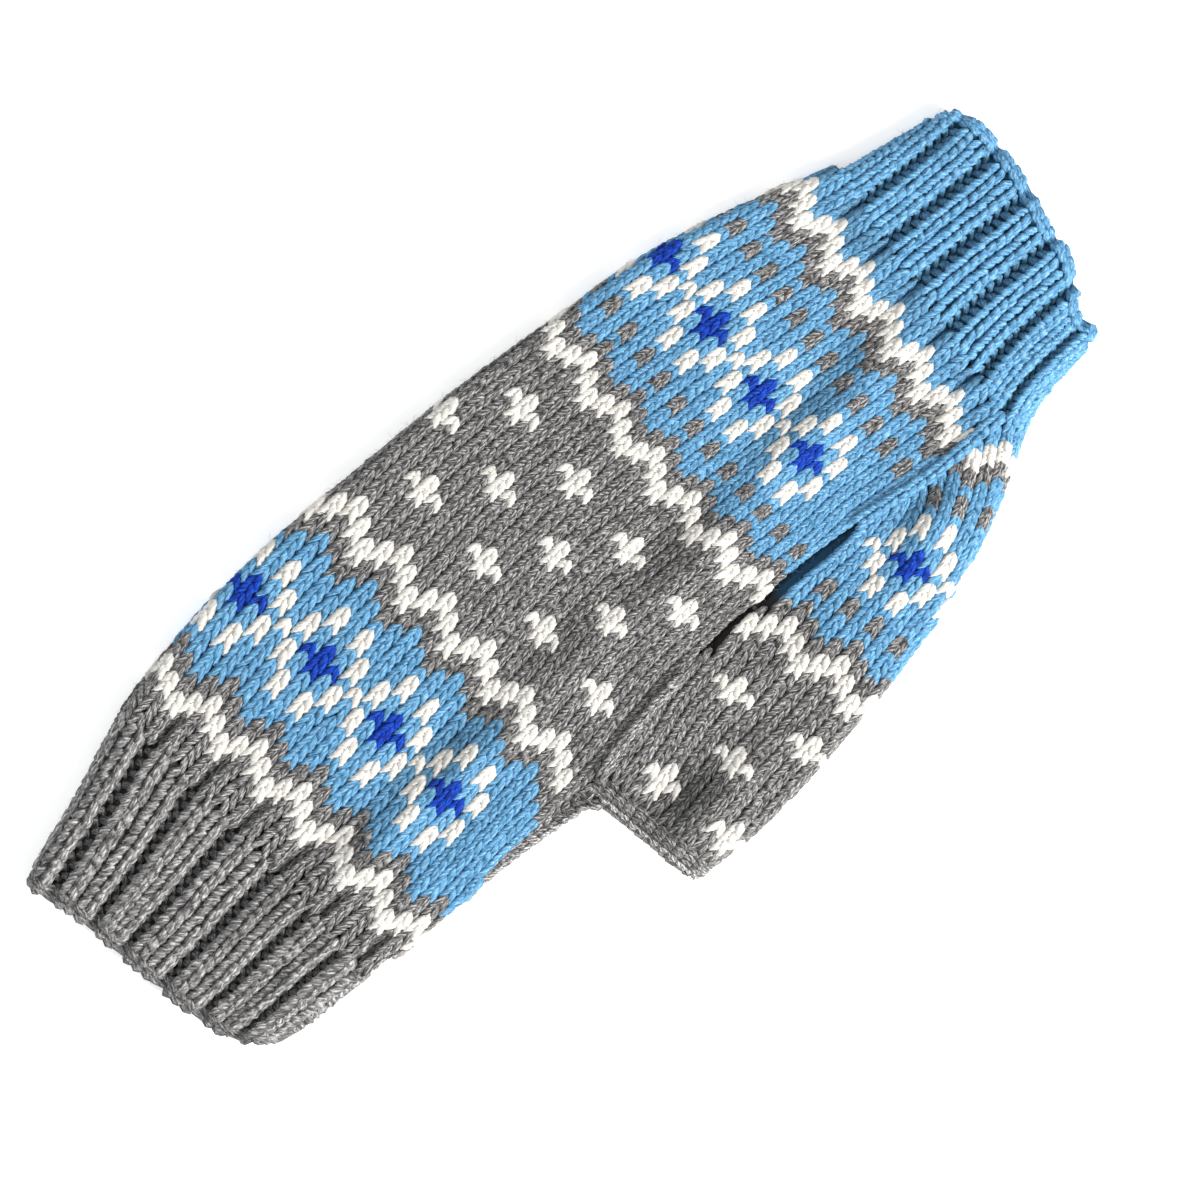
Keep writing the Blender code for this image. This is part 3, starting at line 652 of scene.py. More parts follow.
def seam_face(row, column):
    """The ridge over the seam, one column wide."""
    y, = look_up(BACK_ROWS, row, 4)
    x = seam_x(y) + column * RIDGE_WIDTH
    return np.stack([x, y, upper_face(x, y) + RIDGE_RISE - RIDGE_ROUND * column**2], axis=-1)


def edging_face(row, band, on_top):
    """The belly edging by its way down the garment, in millimetres, and share of its width."""
    y = -row
    inner = back_edge_x(y) - JOIN
    x = inner + (belly_x(y) - inner) * band
    z = upper_face(x, y) - EDGING_ROUND * band**2 if on_top else np.zeros_like(x)
    return np.stack([x, y, z], axis=-1)


def body_line_y(row, x):
    """Y of the back's and chest's end row at a place across the garment."""
    fold_x, fold_y, mid_y, edge_y = look_up(BACK_ROWS, row, 1, 2, 3, 4)
    edge_x = back_edge_x(edge_y)
    across = np.clip((x - fold_x) / (edge_x - fold_x), 0, 1)
    back_y = across_back(fold_y, mid_y, edge_y, across)
    if row > CHEST_LAST:
        return back_y
    seam_y, chest_fold_x, chest_fold_y = CHEST_ROWS[0, 1:4]
    share = np.clip((chest_fold_x - x) / (chest_fold_x - seam_x(seam_y)), 0, 1)
    return np.where(x > edge_x + JOIN, chest_fold_y + (seam_y - chest_fold_y) * share, back_y)


def groove_places(grooves, along):
    """Places of the grooves, and of one more at each side, as shares of the width."""
    table = np.concatenate([[2 * grooves[0] - grooves[1]], grooves,
                            [2 * grooves[-1] - grooves[-2]]])
    return table[:, 0] + (table[:, 1] - table[:, 0]) * np.asarray(along)[..., None]


def groove_wave(place):
    """Height of the ribbing by the place counted in ribs, from a groove's depth to the rise of a
    pair of knit columns."""
    from_groove = np.abs(place - np.round(place))
    knit = smooth_step((from_groove - GROOVE_HALF) / GROOVE_FLANK + 0.5)
    return knit * (RIB_RISE + GROOVE_DEPTH) - GROOVE_DEPTH


def rib_along(rib, row):
    """Share of the way from a rib tube's free edge to the body."""
    return np.clip((row - rib.free_row) / (rib.body_row - rib.free_row), 0, RIB_OVERRUN)


def rib_face(rib, row, share, on_top):
    """A rib tube's outer face by knit row and share of the width, from the left to the right
    edge. Past them the upper layer goes round the folds."""
    along = rib_along(rib, row)
    left_x, right_x = look_up(rib.sides, along, 1, 2)
    half = (right_x - left_x) / 2
    middle_x = (left_x + right_x) / 2
    flat_x = left_x + share * (right_x - left_x)
    beyond = np.abs(flat_x - middle_x) - half + FOLD_RADIUS
    out, height, flat = round_fold(beyond)
    reach = half - FOLD_RADIUS + out
    x = middle_x + np.where(flat_x < middle_x, -reach, reach)
    across = (x - left_x) / (right_x - left_x)
    free_x, body_x = (left + (right - left) * across for _, left, right in rib.sides[[0, -1]])
    free_y = smooth_at(*rib.edge.T, free_x)
    y = free_y + (body_line_y(rib.body_row, body_x) - free_y) * along
    places = groove_places(rib.grooves, along)
    counted = np.clip((across[..., None] - places[..., :-1]) / np.diff(places, axis=-1), 0, 1)
    near_fold = smooth_step(0.5 - 0.5 * beyond / FOLD_RADIUS)
    ribs = groove_wave(np.sum(counted, axis=-1)) * near_fold
    y += np.sign(free_y) * SCALLOP * ribs / RIB_RISE * smooth_step(1 - along / SCALLOP_LENGTH)
    top = np.where(flat, 2 * WALL + air(x, y, -beyond), height) + ribs
    under = np.where(flat, 0.0, 2 * FOLD_RADIUS - height)
    return np.stack([x, y, np.where(on_top, top, under)], axis=-1)


def counted_rib_face(rib, row, place, on_top):
    """The same by knit row and place counted in ribs: whole numbers are in the grooves."""
    places = groove_places(rib.grooves, rib_along(rib, row))
    i = np.clip(np.floor(place).astype(int), 0, len(rib.grooves))
    before, after = (np.take_along_axis(places, i[..., None] + next_one, -1)[..., 0]
                     for next_one in (0, 1))
    return rib_face(rib, row, before + (after - before) * (place - i), on_top)


def around_rib(rib, row, around):
    """The same by the way round it: 0 to 1 on top from left to right, and to 2 below."""
    on_top = (around >= 0) & (around <= 1)
    share = np.where(on_top, around, np.where(around > 1, 2 - around, -around))
    return rib_face(rib, row, share, on_top)


def mirrored(face):
    """The upper layer of a face, then its lower layer, with columns counted the other way so that
    its normals point outwards: whether it is on top, the sign of its columns, and the face."""
    for on_top, way in ((True, 1), (False, -1)):
        def layer(row, column, on_top=on_top, way=way):
            return face(row, way * column, on_top)

        yield on_top, way, layer


def face_and_normal(face, row, column, column_step):
    """Points of a face, and its outward normal from the cross product of its two slopes."""
    down = face(row + ROW_STEP, column) - face(row - ROW_STEP, column)
    right = face(row, column + column_step) - face(row, column - column_step)
    return face(row, column), unit(np.cross(down, right))


# ---------------------------------------------------------------- yarn


def unit(vectors):
    """Vectors scaled to length 1."""
    return vectors / np.maximum(np.linalg.norm(vectors, axis=-1, keepdims=True), 1e-9)


def strands(centres, normals, radii, sides):
    """Closed strands round centre lines: rings of points, each turned a little against the last
    and every second point further out, so that the plies wind round, with a point at each end.

    centres and normals are (strand, place, xyz), radii (strand, place). Returns the points as
    (strand, 2 + places * sides, xyz), and how high each one lies in its strand's section.
    """
    count, places = radii.shape
    along = unit(np.gradient(centres, axis=1))
    side = unit(np.cross(along, normals))
    up = np.cross(side, along)
    turn = np.linspace(0, PLY_TURN, places)[:, None]
    angle = 2 * np.pi * np.arange(sides) / sides + turn
    plies = 1 + PLY_RISE * np.where(np.arange(sides) % 2, -1.0, 1.0) * (sides % 2 == 0)
    reach = radii[:, :, None, None] * plies[:, None]
    rings = (centres[:, :, None] + reach * (np.cos(angle)[..., None] * YARN_FLAT * up[:, :, None]
                                            + np.sin(angle)[..., None] * side[:, :, None]))
    first = centres[:, :1] - along[:, :1] * radii[:, :1, None] * END_REACH
    last = centres[:, -1:] + along[:, -1:] * radii[:, -1:, None] * END_REACH
    points = np.concatenate([first, rings.reshape(count, -1, 3), last], axis=1)
    height = np.broadcast_to(0.5 + 0.5 * np.cos(angle), (count, places, sides))
    ends = np.full((count, 1), END_HEIGHT)
    return points, np.concatenate([ends, height.reshape(count, -1), ends], axis=1)


def lay(face, rows, columns, shape, width, radius, on_top, proud=0.0, tone=0.0, bare=False):
    """Strands of one shape, laid on a face at these rows and columns. Bare ones lie on an edge,
    with nothing beside them to sink them in.

    A place on a strand is the stitch's row and column plus the shape's own, its centre is sunk
    from the face by the strand's height in section and by the shape's height. Strands on the
    lower layer have fewer rings and sides, and are pressed flat on the ground.
    """
    sides = UPPER_SIDES if on_top else LOWER_SIDES
    if not on_top:
        shape = shape[[0, 1, 3, -1]]
    count = len(rows)
    shift = random.normal(0, STITCH_SHIFT, (count, 2, 1))
    size = 1 + random.normal(0, STITCH_SIZE, (count, 1))
    lift = random.normal(0, STITCH_LIFT, (count, 1))
    width = np.broadcast_to(width, rows.shape)[:, None]
    place_row = rows[:, None] + shape[:, 0] + shift[:, 0]
    place_column = columns[:, None] + (shape[:, 1] + shift[:, 1]) * width
    points, normals = face_and_normal(face, place_row, place_column, COLUMN_STEP * np.min(width))
    radii = radius * size * shape[:, 3] * (1 + random.normal(0, LUMPS, place_row.shape))
    calm = CALM + (1 - CALM) * np.abs(normals[..., 2])
    depth = shape[:, 2] * calm - radius * YARN_FLAT + (lift + PROUD + proud if on_top else 0.0)
    centres = points + normals * (depth + np.zeros_like(place_row))[..., None]
    solid, height = strands(centres, normals, radii, sides)
    if bare:
        height = np.maximum(height, BARE_HEIGHT)
    if not on_top:
        solid[..., 2] = np.maximum(solid[..., 2], 0.0)
    return solid, height, sides, tone


def fuzz(solid, height, sides):
    """Fine loose fibres that stand out of strands, bent over and tapered. The arguments are as
    strands returns them."""
    count = len(solid)
    rings = solid[:, 1:-1].reshape(count, -1, sides, 3)
    high = height[:, 1:-1].reshape(count, -1, sides)
    number = int(FUZZ * count)
    strand = random.integers(0, count, number)
    place = random.integers(0, rings.shape[1], number)
    around = np.argmax(high[strand, place] + random.uniform(0, FUZZ_SPREAD, (number, sides)),
                       axis=1)
    root = rings[strand, place, around]
    out = unit(root - rings[strand, place].mean(axis=1))
    away = random.normal(0, 1, (number, 3))
    away = unit(away - out * np.sum(away * out, axis=1, keepdims=True))
    length = random.uniform(*FUZZ_LENGTH, (number, 1))
    bent = unit(away + FUZZ_BEND * random.normal(0, 1, (number, 3)))
    centres = np.stack([root - FUZZ_ROOT * out]
                       + [root + length * (up * out + on * away + aside * bent)
                          for up, on, aside in FUZZ_PLACES], axis=1)
    normals = np.broadcast_to(out[:, None], centres.shape)
    radii = FUZZ_RADIUS * np.broadcast_to(np.array(FUZZ_TAPER), (number, 3))
    fibres, _ = strands(centres, normals, radii, FUZZ_SIDES)
    fibres[..., 2] = np.maximum(fibres[..., 2], 0.0)
    return fibres, np.full(fibres.shape[:2], FUZZ_HEIGHT), FUZZ_SIDES, FUZZ_TONE


def strand_corners(places, sides):
    """Corners of one strand's faces, the quads between its rings and the triangles of a fan at
    each end: their point numbers, then their UVs, u once round the section and v along."""
    ring, side = np.meshgrid(np.arange(places), np.arange(sides + 1), indexing="ij")

    def corners(grid, start, end):
        quads = np.stack([grid[:-1, :-1], grid[:-1, 1:], grid[1:, 1:], grid[1:, :-1]], axis=2)
        fans = [np.stack([start, grid[0, 1:], grid[0, :-1]], axis=1),
                np.stack([end, grid[-1, :-1], grid[-1, 1:]], axis=1)]
        return quads, np.concatenate(fans)

    number = 1 + ring * sides + side % sides
    quads, triangles = corners(number, np.full(sides, 0), np.full(sides, places * sides + 1))
    middle = (side[0, :-1] + 0.5) / sides
    quad_uv, triangle_uv = corners(np.stack([side / sides, ring / (places - 1)], axis=-1),
                                   np.stack([middle, 0 * middle], axis=-1),
                                   np.stack([middle, 0 * middle + 1], axis=-1))
    return (quads.reshape(-1, 4), triangles, quad_uv.reshape(-1, 2), triangle_uv.reshape(-1, 2))


def new_mesh(name, points, quads, triangles, **attributes):
    """A mesh from points in millimetres, corner numbers of its faces, and numbers kept by its
    points."""
    mesh = bpy.data.meshes.new(name)
    mesh.vertices.add(len(points))
    mesh.vertices.foreach_set("co", ((points - MIDDLE) * MM).ravel())
    mesh.loops.add(quads.size + triangles.size)
    mesh.loops.foreach_set("vertex_index", np.concatenate([quads.ravel(), triangles.ravel()]))
    mesh.polygons.add(len(quads) + len(triangles))
    starts = np.concatenate([np.arange(len(quads)) * 4,
                             quads.size + np.arange(len(triangles)) * 3])
    mesh.polygons.foreach_set("loop_start", starts)
    mesh.update(calc_edges=True)
    mesh.validate()
    mesh.shade_smooth()
    for attribute, values in attributes.items():
        mesh.attributes.new(attribute, "FLOAT", "POINT").data.foreach_set("value", values)
    return mesh


def put(name, mesh, material):
    """An object at the origin with one material, riding on the garment's only body."""
    piece = bpy.data.objects.new(name, mesh)
    bpy.context.scene.collection.objects.link(piece)
    mesh.materials.append(material)
    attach(piece, "root")
    return piece


def yarn_piece(name, laid, yarn):
    """All the strands of one yarn in a stretch of knitting, as one piece.

    Beside its UV each point keeps how high it lies in its section, and the tone of its strand.
    """
    points, quads, triangles, quad_uv, triangle_uv, heights, tones = [], [], [], [], [], [], []
    laid = laid + [fuzz(*strand[:3]) for strand in laid
                   if strand[2] == UPPER_SIDES and np.max(strand[3]) > PURL_SHADE_TONE]
    before = 0
    for solid, height, sides, tone in laid:
        count, size = solid.shape[:2]
        first = before + np.arange(count)[:, None, None] * size
        offset = random.uniform(0, UV_SPREAD, (count, 1, 1)) * np.array([0, 1])
        corners = strand_corners((size - 2) // sides, sides)
        for kept, one, more, width in zip((quads, triangles, quad_uv, triangle_uv), corners,
                                          (first, first, offset, offset), (4, 3, 2, 2)):
            kept.append((one + more).reshape(-1, width))
        points.append(solid.reshape(-1, 3))
        heights.append(height.ravel())
        tones.append(np.repeat(random.normal(TONE_MIDDLE + tone, TONE_SPREAD, count), size))
        before += count * size
    mesh = new_mesh(name, np.concatenate(points), np.concatenate(quads), np.concatenate(triangles),
                    height=np.concatenate(heights), tone=np.concatenate(tones))
    layer = mesh.uv_layers.new(name="yarn")
    layer.data.foreach_set("uv", np.concatenate(quad_uv + triangle_uv).ravel())
    return put(name, mesh, WOOL[yarn])


# ---------------------------------------------------------------- charts


def chart_yarn(row, column, whole_motifs):
    """The yarn of each stitch: the ground, the zigzags over it, then the small motifs. A panel
    has only whole motifs, with middles between the two columns given."""
    yarn = np.full(row.shape, LIGHT_BLUE)
    for first, peak, *yarns in ZIGZAGS:
        start = first + np.abs((column - peak + ZIGZAG_HALF) % (2 * ZIGZAG_HALF) - ZIGZAG_HALF)
        for down, colour in zip((0, 2, 4), yarns):
            yarn = np.where(row >= start + down, colour, yarn)
    for first, middle, repeat, chart in MOTIFS:
        half = len(chart[0]) // 2
        along = (column - middle + repeat // 2) % repeat - repeat // 2 + half
        own_middle = column - along + half
        whole = ((own_middle >= whole_motifs[0]) & (own_middle <= whole_motifs[1])
                 | (chart is SEEDS))
        for down, letters in enumerate(chart):
            for i, letter in enumerate(letters):
                if letter != ".":
                    yarn = np.where((row == first + down) & (along == i) & whole,
                                    CHART_YARNS[letter], yarn)
    return yarn


# ---------------------------------------------------------------- materials


def new_material(name):
    """A new material, with its node tree and its shader."""
    material = bpy.data.materials.new(name)
    material.use_nodes = True
    return material, material.node_tree, material.node_tree.nodes["Principled BSDF"]


def connect(tree, target, inputs):
    """Sets a node's inputs to values, or links them to other nodes' outputs."""
    for socket, value in inputs.items():
        if isinstance(value, bpy.types.NodeSocket):
            tree.links.new(value, target.inputs[socket])
        else:
            target.inputs[socket].default_value = value


def node(tree, kind, output, inputs=None, **properties):
    """An output of a new node with these properties and inputs."""
    made = tree.nodes.new("ShaderNode" + kind)
    for name, value in properties.items():
        setattr(made, name, value)
    connect(tree, made, inputs or {})
    return made.outputs[output]


def kept_number(tree, name):
    """The numbers that new_mesh keeps under this name."""
    return node(tree, "Attribute", "Fac", attribute_name=name)


def mix(tree, share, first, second):
    """A colour from the first one at 0 to the second one at 1."""
    return node(tree, "Mix", "Result", {"Factor": share, "A": first, "B": second},
                data_type="RGBA")


def ramp(tree, share, *stops):
    """A colour ramp with these (place, colour) stops."""
    shades = node(tree, "ValToRGB", "Color", {"Fac": share})
    elements = shades.node.color_ramp.elements
    while len(elements) < len(stops):
        elements.new(0.5)
    for element, (at, colour) in zip(elements, stops):
        element.position = at
        element.color = (*colour, 1)
    return shades


def wool_material(name, dark, base, light, fleck, sheen):
    """Plied wool. Its colour runs from dark low in the strand to base on top, a painted shade of
    the strand's underside and of the crevices between strands, with light and dark fibres along
    the plies; fleck is how far the fibres differ. Plies and fibres are in relief."""
    material, tree, shader = new_material(name)
    uv = node(tree, "UVMap", "UV", uv_map="yarn")
    stretched = node(tree, "Mapping", "Vector", {"Vector": uv, "Scale": (13.0, 3.4, 1.0)})
    fibres = node(tree, "TexNoise", "Fac",
                  {"Vector": stretched, "Scale": 1.0, "Detail": 3.0, "Roughness": 0.65})
    spread = 0.24 - 0.12 * fleck
    shades = ramp(tree, fibres, (0.5 - spread, dark), (0.5, base), (0.5 + spread, light))
    # Painted shade: darker low in each strand's section, down in the crevices between strands.
    high = ramp(tree, kept_number(tree, "height"),
                (0.28, (0.0, 0.0, 0.0)), (0.92, (1.0, 1.0, 1.0)))
    crevice = mix(tree, high, (*[CREVICE_SHADE * c for c in dark], 1), shades)
    # A strand's tone scales its brightness: it differs at random, and carries the painted shade
    # and light that the pieces give their strands.
    brightness = node(tree, "MapRange", "Result", {"Value": kept_number(tree, "tone"),
                                                   "To Min": 0.86, "To Max": 1.14}, clamp=False)
    colour = node(tree, "HueSaturation", "Color", {"Value": brightness, "Color": crevice})

    around = node(tree, "SeparateXYZ", "X", {"Vector": uv})
    turns = node(tree, "Math", "Value", {0: around, 1: 2 * np.pi * PLIES}, operation="MULTIPLY")
    plies = node(tree, "Math", "Value", {0: turns}, operation="COSINE")
    relief = node(tree, "Math", "Value", {0: plies, 1: PLY_RELIEF, 2: fibres},
                  operation="MULTIPLY_ADD")
    bump = node(tree, "Bump", "Normal", {"Strength": 0.55, "Distance": 0.0004, "Height": relief})
    connect(tree, shader, {
        "Base Color": colour, "Normal": bump, "Roughness": 0.88, "Specular IOR Level": 0.25,
        "Sheen Weight": sheen, "Sheen Roughness": 0.6, "Sheen Tint": (*light, 1)})
    return material


def backing_material(name, blue_dark, blue, grey_dark, grey, blue_inside, grey_inside):
    """The plain wall between the stitches, bumpy like the back of knitting, and mostly in shade
    under the stitches. Its colours are the yarns' colours darkened as painted shade, most in the
    hollows of its bumps, and less inside the garment."""
    material, tree, shader = new_material(name)
    at = node(tree, "TexCoord", "Object")
    loops = node(tree, "TexVoronoi", "Distance", {"Vector": at, "Scale": 260.0})
    blue_shades, grey_shades = (ramp(tree, loops, (0.1, crest), (0.7, deep))
                                for crest, deep in ((blue, blue_dark), (grey, grey_dark)))
    zone = kept_number(tree, "blue_zone")
    outside = mix(tree, zone, grey_shades, blue_shades)
    inside = mix(tree, zone, (*grey_inside, 1), (*blue_inside, 1))
    bump = node(tree, "Bump", "Normal", {"Strength": 0.8, "Distance": 0.0008, "Height": loops},
                invert=True)
    connect(tree, shader, {
        "Base Color": mix(tree, kept_number(tree, "inside"), outside, inside), "Normal": bump,
        "Roughness": 0.95, "Specular IOR Level": 0.15})
    return material


WOOL = {
    LIGHT_BLUE: wool_material("light_blue_wool", (0.026, 0.112, 0.215), (0.108, 0.300, 0.505),
                              (0.29, 0.54, 0.76), 0.5, 0.22),
    GREY: wool_material("grey_wool", (0.022, 0.021, 0.022), (0.133, 0.129, 0.128),
                        (0.50, 0.49, 0.48), 0.85, 0.25),
    WHITE: wool_material("white_wool", (0.54, 0.51, 0.465), (0.675, 0.655, 0.615),
                         (0.80, 0.79, 0.76), 0.3, 0.25),
    RIB_GREY: wool_material("grey_rib_wool", (0.025, 0.024, 0.025), (0.152, 0.148, 0.147),
                            (0.52, 0.51, 0.50), 0.62, 0.25),
    ROYAL_BLUE: wool_material("royal_blue_wool", (0.002, 0.012, 0.10), (0.003, 0.034, 0.36),
                              (0.015, 0.12, 0.62), 0.5, 0.12),
}
# Painted shade: the wall's colours are the yarns' colours darkened, crest and deep shades outside
# and a lesser darkening inside.
BACKING = backing_material("cloth_behind_in_painted_shade", (0.010, 0.045, 0.085), (0.042, 0.15, 0.275),
                           (0.014, 0.013, 0.013), (0.075, 0.07, 0.07),
                           (0.035, 0.105, 0.19), (0.045, 0.042, 0.042))


# ---------------------------------------------------------------- pieces


def stitch_grid(rows, columns):
    """Row and column of every stitch in a rectangle of them."""
    return (a.ravel() for a in np.meshgrid(rows, columns, indexing="ij"))


def knit_stitches(face, rows, columns, width, radius, on_top, legs=RIB_LEGS, **more):
    """Both legs of each knit stitch."""
    return [lay(face, rows, columns, leg, width, radius, on_top, **more) for leg in legs]


def knit_body(panel, face, row, column, yarn, on_top, tone):
    """Pieces of a panel's stitches, one for each stretch and yarn that it has."""
    made = []
    for stretch, first, last in STRETCHES:
        for colour, colour_name in enumerate(YARN_NAMES):
            radius, proud, share = ((WHITE_YARN, WHITE_PROUD, WHITE_TONE) if colour == WHITE
                                    else (YARN, 0.0, 1.0))
            laid = []
            for top in (True, False):
                here = (row >= first) & (row <= last) & (yarn == colour) & (on_top == top)
                if here.any():
                    laid += knit_stitches(face, row[here] + CENTRE, column[here] * 1.0, 1.0,
                                          radius, top, LEGS, proud=proud, tone=tone[here] * share)
            if laid:
                made.append(yarn_piece(f"{panel}_{stretch}_{colour_name}", laid, colour))
    return made


def backing_wall(name, replaced, face, rows, columns, closed=False):
    """A closed thin wall under the stitches, between two faces sunk along the normals."""
    row, column = np.meshgrid(rows, columns, indexing="ij")
    points, normals = face_and_normal(face, row, column, SHARE_STEP)
    outer = points - normals * BACKING_DEPTH
    inner = points - normals * (BACKING_DEPTH + BACKING_THICK)
    number = np.arange(row.size).reshape(row.shape)
    if closed:
        number = np.concatenate([number, number[:, :1]], axis=1)
    inside = number + row.size

    def band(*corners):
        return np.stack(corners, axis=-1).reshape(-1, 4)

    quads = [band(number[:-1, :-1], number[1:, :-1], number[1:, 1:], number[:-1, 1:]),
             band(inside[:-1, 1:], inside[1:, 1:], inside[1:, :-1], inside[:-1, :-1]),
             band(number[0, 1:], inside[0, 1:], inside[0, :-1], number[0, :-1]),
             band(number[-1, :-1], inside[-1, :-1], inside[-1, 1:], number[-1, 1:])]
    if not closed:
        quads += [band(number[:-1, 0], inside[:-1, 0], inside[1:, 0], number[1:, 0]),
                  band(number[1:, -1], inside[1:, -1], inside[:-1, -1], number[:-1, -1])]
    corners = np.concatenate([outer.reshape(-1, 3), inner.reshape(-1, 3)])
    blue_zone = np.zeros(row.shape)
    for first, last in BLUE_ROWS:
        blue_zone += smooth_step(row - first + 0.5) * smooth_step(last - row + 0.5)
    mesh = new_mesh(name, corners, np.concatenate(quads), np.empty((0, 3), int),
                    blue_zone=np.tile(blue_zone.ravel(), 2),
                    inside=np.repeat([0.0, 1.0], row.size))
    wall = put(name, mesh, BACKING)
    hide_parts(replaced)
    return wall


def make_back(edging):
    """The back panel, with the ridge over its seam. Its edging argument is not used."""
    row, column = stitch_grid(np.arange(BODY_FIRST, BODY_LAST), np.arange(*BACK_COLUMNS_LAID))
    middle = back_face(row + CENTRE, column * 1.0)
    on_top = middle[:, 2] > FOLD_TOP
    edge_y, = look_up(BACK_ROWS, row + CENTRE, 4)
    edge_x = back_edge_x(edge_y)
    past = back_flat_x(row + CENTRE, column) - edge_x
    sewn = edge_y > SEAM_END
    rolled = np.where(sewn, slit_open(edge_y), 1)
    under_ridge = (edge_y > SLIT_TOP + RIDGE_ABOVE_SLIT) & (past > PAST_UNDER_RIDGE)
    past_under = np.where(sewn, BACK_UNDER_SEAM,
                          np.where(edge_y > EDGING_END, BACK_UNDER_EDGING, BACK_UNDER_EDGE))
    inside = np.where(on_top, (past < BACK_PAST + BACK_ROLLED * rolled) & ~under_ridge,
                      middle[:, 0] < edge_x + past_under)
    row, column, on_top = row[inside], column[inside], on_top[inside]
    # Tones: painted shade in the grooves that run into the back, the patches' painted shade and
    # light on the upper layer, and the hem's paler tone.
    to_hem = smooth_step((row + CENTRE - HEM_TONE_ROWS[0]) / HEM_TONE_ROWS[1])
    groove_shade_share = body_ribs(row + CENTRE, column, lambda place: np.cos(np.pi * place) ** 4)
    tone = (BODY_GROOVE_SHADE_TONE * groove_shade_share + painted_patch_tone(middle[inside]) * on_top + HEM_TONE * to_hem)
    yarn = chart_yarn(row, column, BACK_MOTIFS)
    yarn = np.where((column >= BACK_LAST_COLUMN) & (row >= CHEST_LAST) & (row < EDGING_LAST),
                    GREY, yarn)
    pieces = knit_body("back", back_face, row, column, yarn, on_top, tone)

    ridge_row = np.arange(BODY_FIRST, RIDGE_LAST) + CENTRE
    laid = knit_stitches(seam_face, ridge_row, np.zeros(len(ridge_row)), 1.0, RIDGE_YARN, True)
    pieces.append(yarn_piece("seam_ridge", laid, LIGHT_BLUE))
    lower_row = np.arange(*LOWER_RIDGE_ROWS)
    laid = knit_stitches(seam_face, lower_row, np.full(len(lower_row), LOWER_RIDGE_AT),
                         LOWER_RIDGE_WIDTH, LOWER_RIDGE_YARN, True, proud=LOWER_RIDGE_PROUD,
                         tone=LOWER_RIDGE_TONE)
    pieces.append(yarn_piece("seam_lower_ridge", laid, GREY))

    wall = backing_wall("back_cloth", "back", back_share,
                        np.linspace(BODY_FIRST, BODY_LAST, BACK_WALL_GRID[0]),
                        np.linspace(-1, 1, BACK_WALL_GRID[1]))


def make_chest():
    """The chest panel: its columns run along the fold, and the seam cuts them off."""
    row, column = stitch_grid(np.arange(BODY_FIRST, CHEST_GRID_LAST),
                              np.arange(*CHEST_COLUMNS_LAID))
    middle = chest_face(row + CENTRE, column * 1.0)
    beside = chest_face(row + CENTRE, column - 1.0)
    seam_y, = look_up(CHEST_ROWS, row + CENTRE, 1)
    on_top = middle[:, 2] > FOLD_TOP
    past = np.where(seam_y > SLIT_TOP + RIDGE_ABOVE_SLIT, PAST_UNDER_RIDGE, CHEST_PAST)
    inside = ((middle[:, 0] > chest_edge_x(seam_y) - np.where(on_top, past, CHEST_UNDER))
              & (~on_top | (beside[:, 0] < middle[:, 0] - CHEST_APART)))
    row, column, on_top = row[inside], column[inside], on_top[inside]
    yarn = chart_yarn(row, column + CHEST_CHART_SHIFT, CHEST_MOTIFS)
    # The patches' painted shade and light tone the upper layer.
    pieces = knit_body("chest", chest_face, row, column, yarn, on_top,
                       painted_patch_tone(middle[inside]) * on_top)

    laid = []
    for layer_on_top, from_share, to_share, at in CHEST_CHAINS:
        share = from_share + (to_share - from_share) * (np.arange(CHEST_LINKS) + 0.5) / CHEST_LINKS
        paler_to_fold = CORNER_TONE * smooth_step((share - CORNER_TONE_SHARES[0]) / CORNER_TONE_SHARES[1])
        for strand, up, tone in CHEST_STRANDS:
            laid.append(lay(chest_share, np.full(CHEST_LINKS, at + up), share,
                            strand * np.array([-1, 1, 1, 1]) + np.array([0, 0, up, 0]),
                            1 / CHEST_LINKS, CHEST_CHAIN_YARN, layer_on_top, tone=tone + paler_to_fold,
                            bare=True))
    pieces.append(yarn_piece("chest_cast_off", laid, GREY))

    wall = backing_wall("chest_cloth", "chest", chest_share,
                        np.linspace(BODY_FIRST, CHEST_LAST - 0.5, CHEST_WALL_GRID[0]),
                        np.linspace(-1, 1, CHEST_WALL_GRID[1]))


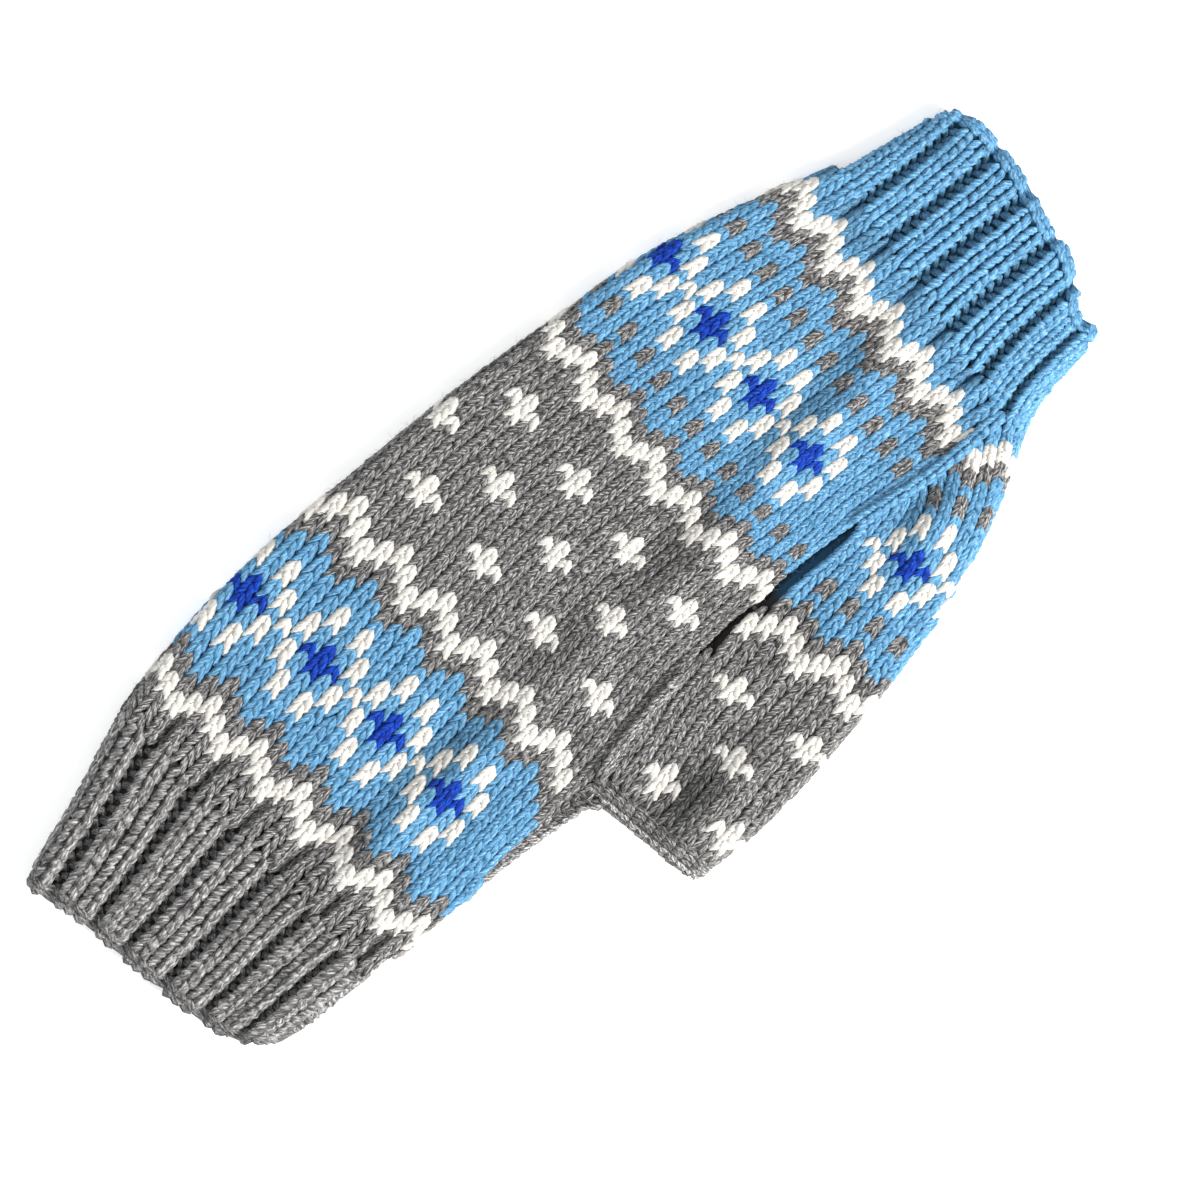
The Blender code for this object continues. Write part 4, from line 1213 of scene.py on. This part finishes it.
def make_rib(rib):
    """A ribbed tube, with pairs of knit columns on the ribs and of purl ones in the grooves, and
    the chain along its free edge. Returns its wall and its pieces."""
    number = np.arange(len(rib.grooves) + 1)
    knit = (number[:, None] + 0.5 + np.array([-rib.knit_at, rib.knit_at])).ravel()
    purl = (number[1:, None] + np.array([-rib.purl_at, rib.purl_at])).ravel()
    laid = []
    for on_top, way, face in mirrored(partial(counted_rib_face, rib)):
        def places(columns, down):
            row, place = stitch_grid(rib.rows + down, way * columns)
            kept = on_top | (face(row, place)[:, 2] < ON_GROUND)
            return row[kept], place[kept]

        row, place = places(knit, CENTRE)
        # The patches' painted shade and light tone the upper layer's knit stitches.
        laid += knit_stitches(face, row, place, 2 * rib.knit_at, rib.yarn, on_top,
                              tone=rib.tone + painted_patch_tone(face(row, place)) * on_top)
        # The purl arcs deep in the grooves carry painted shade.
        for i in (0, 1):
            laid.append(lay(face, *places(purl[i::2], 0.5 + 0.5 * i), PURL_ARC, 2 * rib.purl_at,
                            PURL_YARN, on_top, tone=rib.purl_shade_tone))
    stitches = yarn_piece(rib.name + "_rib_stitches", laid, rib.colour)

    rows = sorted((rib.free_row + RIB_WALL_INSIDE * rib.to_body, rib.body_row))
    wall = backing_wall(rib.name + "_rib_cloth", rib.name + "_rib",
                        partial(around_rib, rib), np.linspace(*rows, RIB_WALL_GRID[0]),
                        np.linspace(0, 2, RIB_WALL_GRID[1], endpoint=False), closed=True)

    laid = []
    for on_top, way, face in mirrored(partial(rib_face, rib)):
        share = way * (np.arange(CHAIN_LINKS) + 0.5) / CHAIN_LINKS
        for strand in (CHAIN_OUTER, CHAIN_INNER):
            laid.append(lay(face, np.full(CHAIN_LINKS, rib.free_row), share,
                            strand * np.array([rib.to_body, 1, 1, 1]), 1 / CHAIN_LINKS,
                            CHAIN_YARN, on_top, tone=rib.chain_tone, bare=True))
    return wall, [stitches, yarn_piece(rib.name + "_cast_off", laid, rib.colour)]


def make_edging():
    """The narrow band along the belly edge, a piece on each layer."""
    y = np.linspace(EDGING_TOP + EDGING_START, EDGING_END, EDGING_LINKS)
    step = (EDGING_TOP - EDGING_END) / EDGING_LINKS
    in_corner = smooth_step((y - EDGING_CORNER) / EDGING_CORNER_REACH + 0.5)
    made = []
    for name, (on_top, way, face) in zip(("belly_edging_upper", "belly_edging_under"),
                                         mirrored(edging_face)):
        laid = []
        for band, lean, height, dark, pale in EDGING_STRANDS:
            shape = EDGING_LINK * np.array([step, lean, 1, 1]) + np.array([0, band, height, 0])
            laid.append(lay(face, -y, np.zeros(EDGING_LINKS), shape * np.array([1, way, 1, 1]),
                            1.0, EDGING_YARN, on_top, tone=pale + (dark - pale) * in_corner,
                            bare=True))
        piece = yarn_piece(name + "_chain", laid, GREY)
        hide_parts(name)
        made.append(piece)
    return made


# ---------------------------------------------------------------- stage


def make_stage():
    """A pale floor, a large soft light from the chest's side, a fill, and the camera above."""
    link = bpy.context.scene.collection.objects.link
    floor_mesh = bpy.data.meshes.new("floor")
    floor_mesh.from_pydata([(x * FLOOR_HALF, y * FLOOR_HALF, FLOOR_Z)
                            for x, y in ((-1, -1), (1, -1), (1, 1), (-1, 1))], [], [(0, 1, 2, 3)])
    floor = bpy.data.objects.new("floor", floor_mesh)
    link(floor)
    paper, tree, shader = new_material("floor_paper")
    connect(tree, shader, {"Base Color": (0.93, 0.93, 0.93, 1), "Roughness": 0.9,
                           "Emission Color": (1, 1, 1, 1), "Emission Strength": 0.28})
    floor_mesh.materials.append(paper)

    for name, at, size, power, colour in LIGHTS:
        light = bpy.data.lights.new(name, "AREA")
        light.size = size
        light.energy = power
        light.color = colour
        lamp = bpy.data.objects.new(name, light)
        lamp.location = at
        away = -np.array(at)
        lamp.rotation_euler = (0.0, np.arccos(-away[2] / np.linalg.norm(away)),
                               np.arctan2(-away[1], -away[0]))
        link(lamp)

    world = bpy.data.worlds.new("studio")
    world.use_nodes = True
    connect(world.node_tree, world.node_tree.nodes["Background"],
            {"Color": (1, 1, 1, 1), "Strength": WORLD_STRENGTH})
    bpy.context.scene.world = world

    camera_data = bpy.data.cameras.new("camera")
    camera_data.sensor_width = CAMERA_SENSOR
    camera_data.lens = CAMERA_SENSOR * CAMERA_AT[2] / GROUND_ACROSS
    camera = bpy.data.objects.new("camera", camera_data)
    camera.location = CAMERA_AT
    camera.rotation_euler = (0, 0, np.radians(CAMERA_TURN))
    link(camera)
    bpy.context.scene.camera = camera
    bpy.context.scene.view_settings.view_transform = "Standard"


make_back(make_edging())
make_chest()
neck, neck_pieces = make_rib(NECK)
hem, hem_pieces = make_rib(HEM)
make_stage()
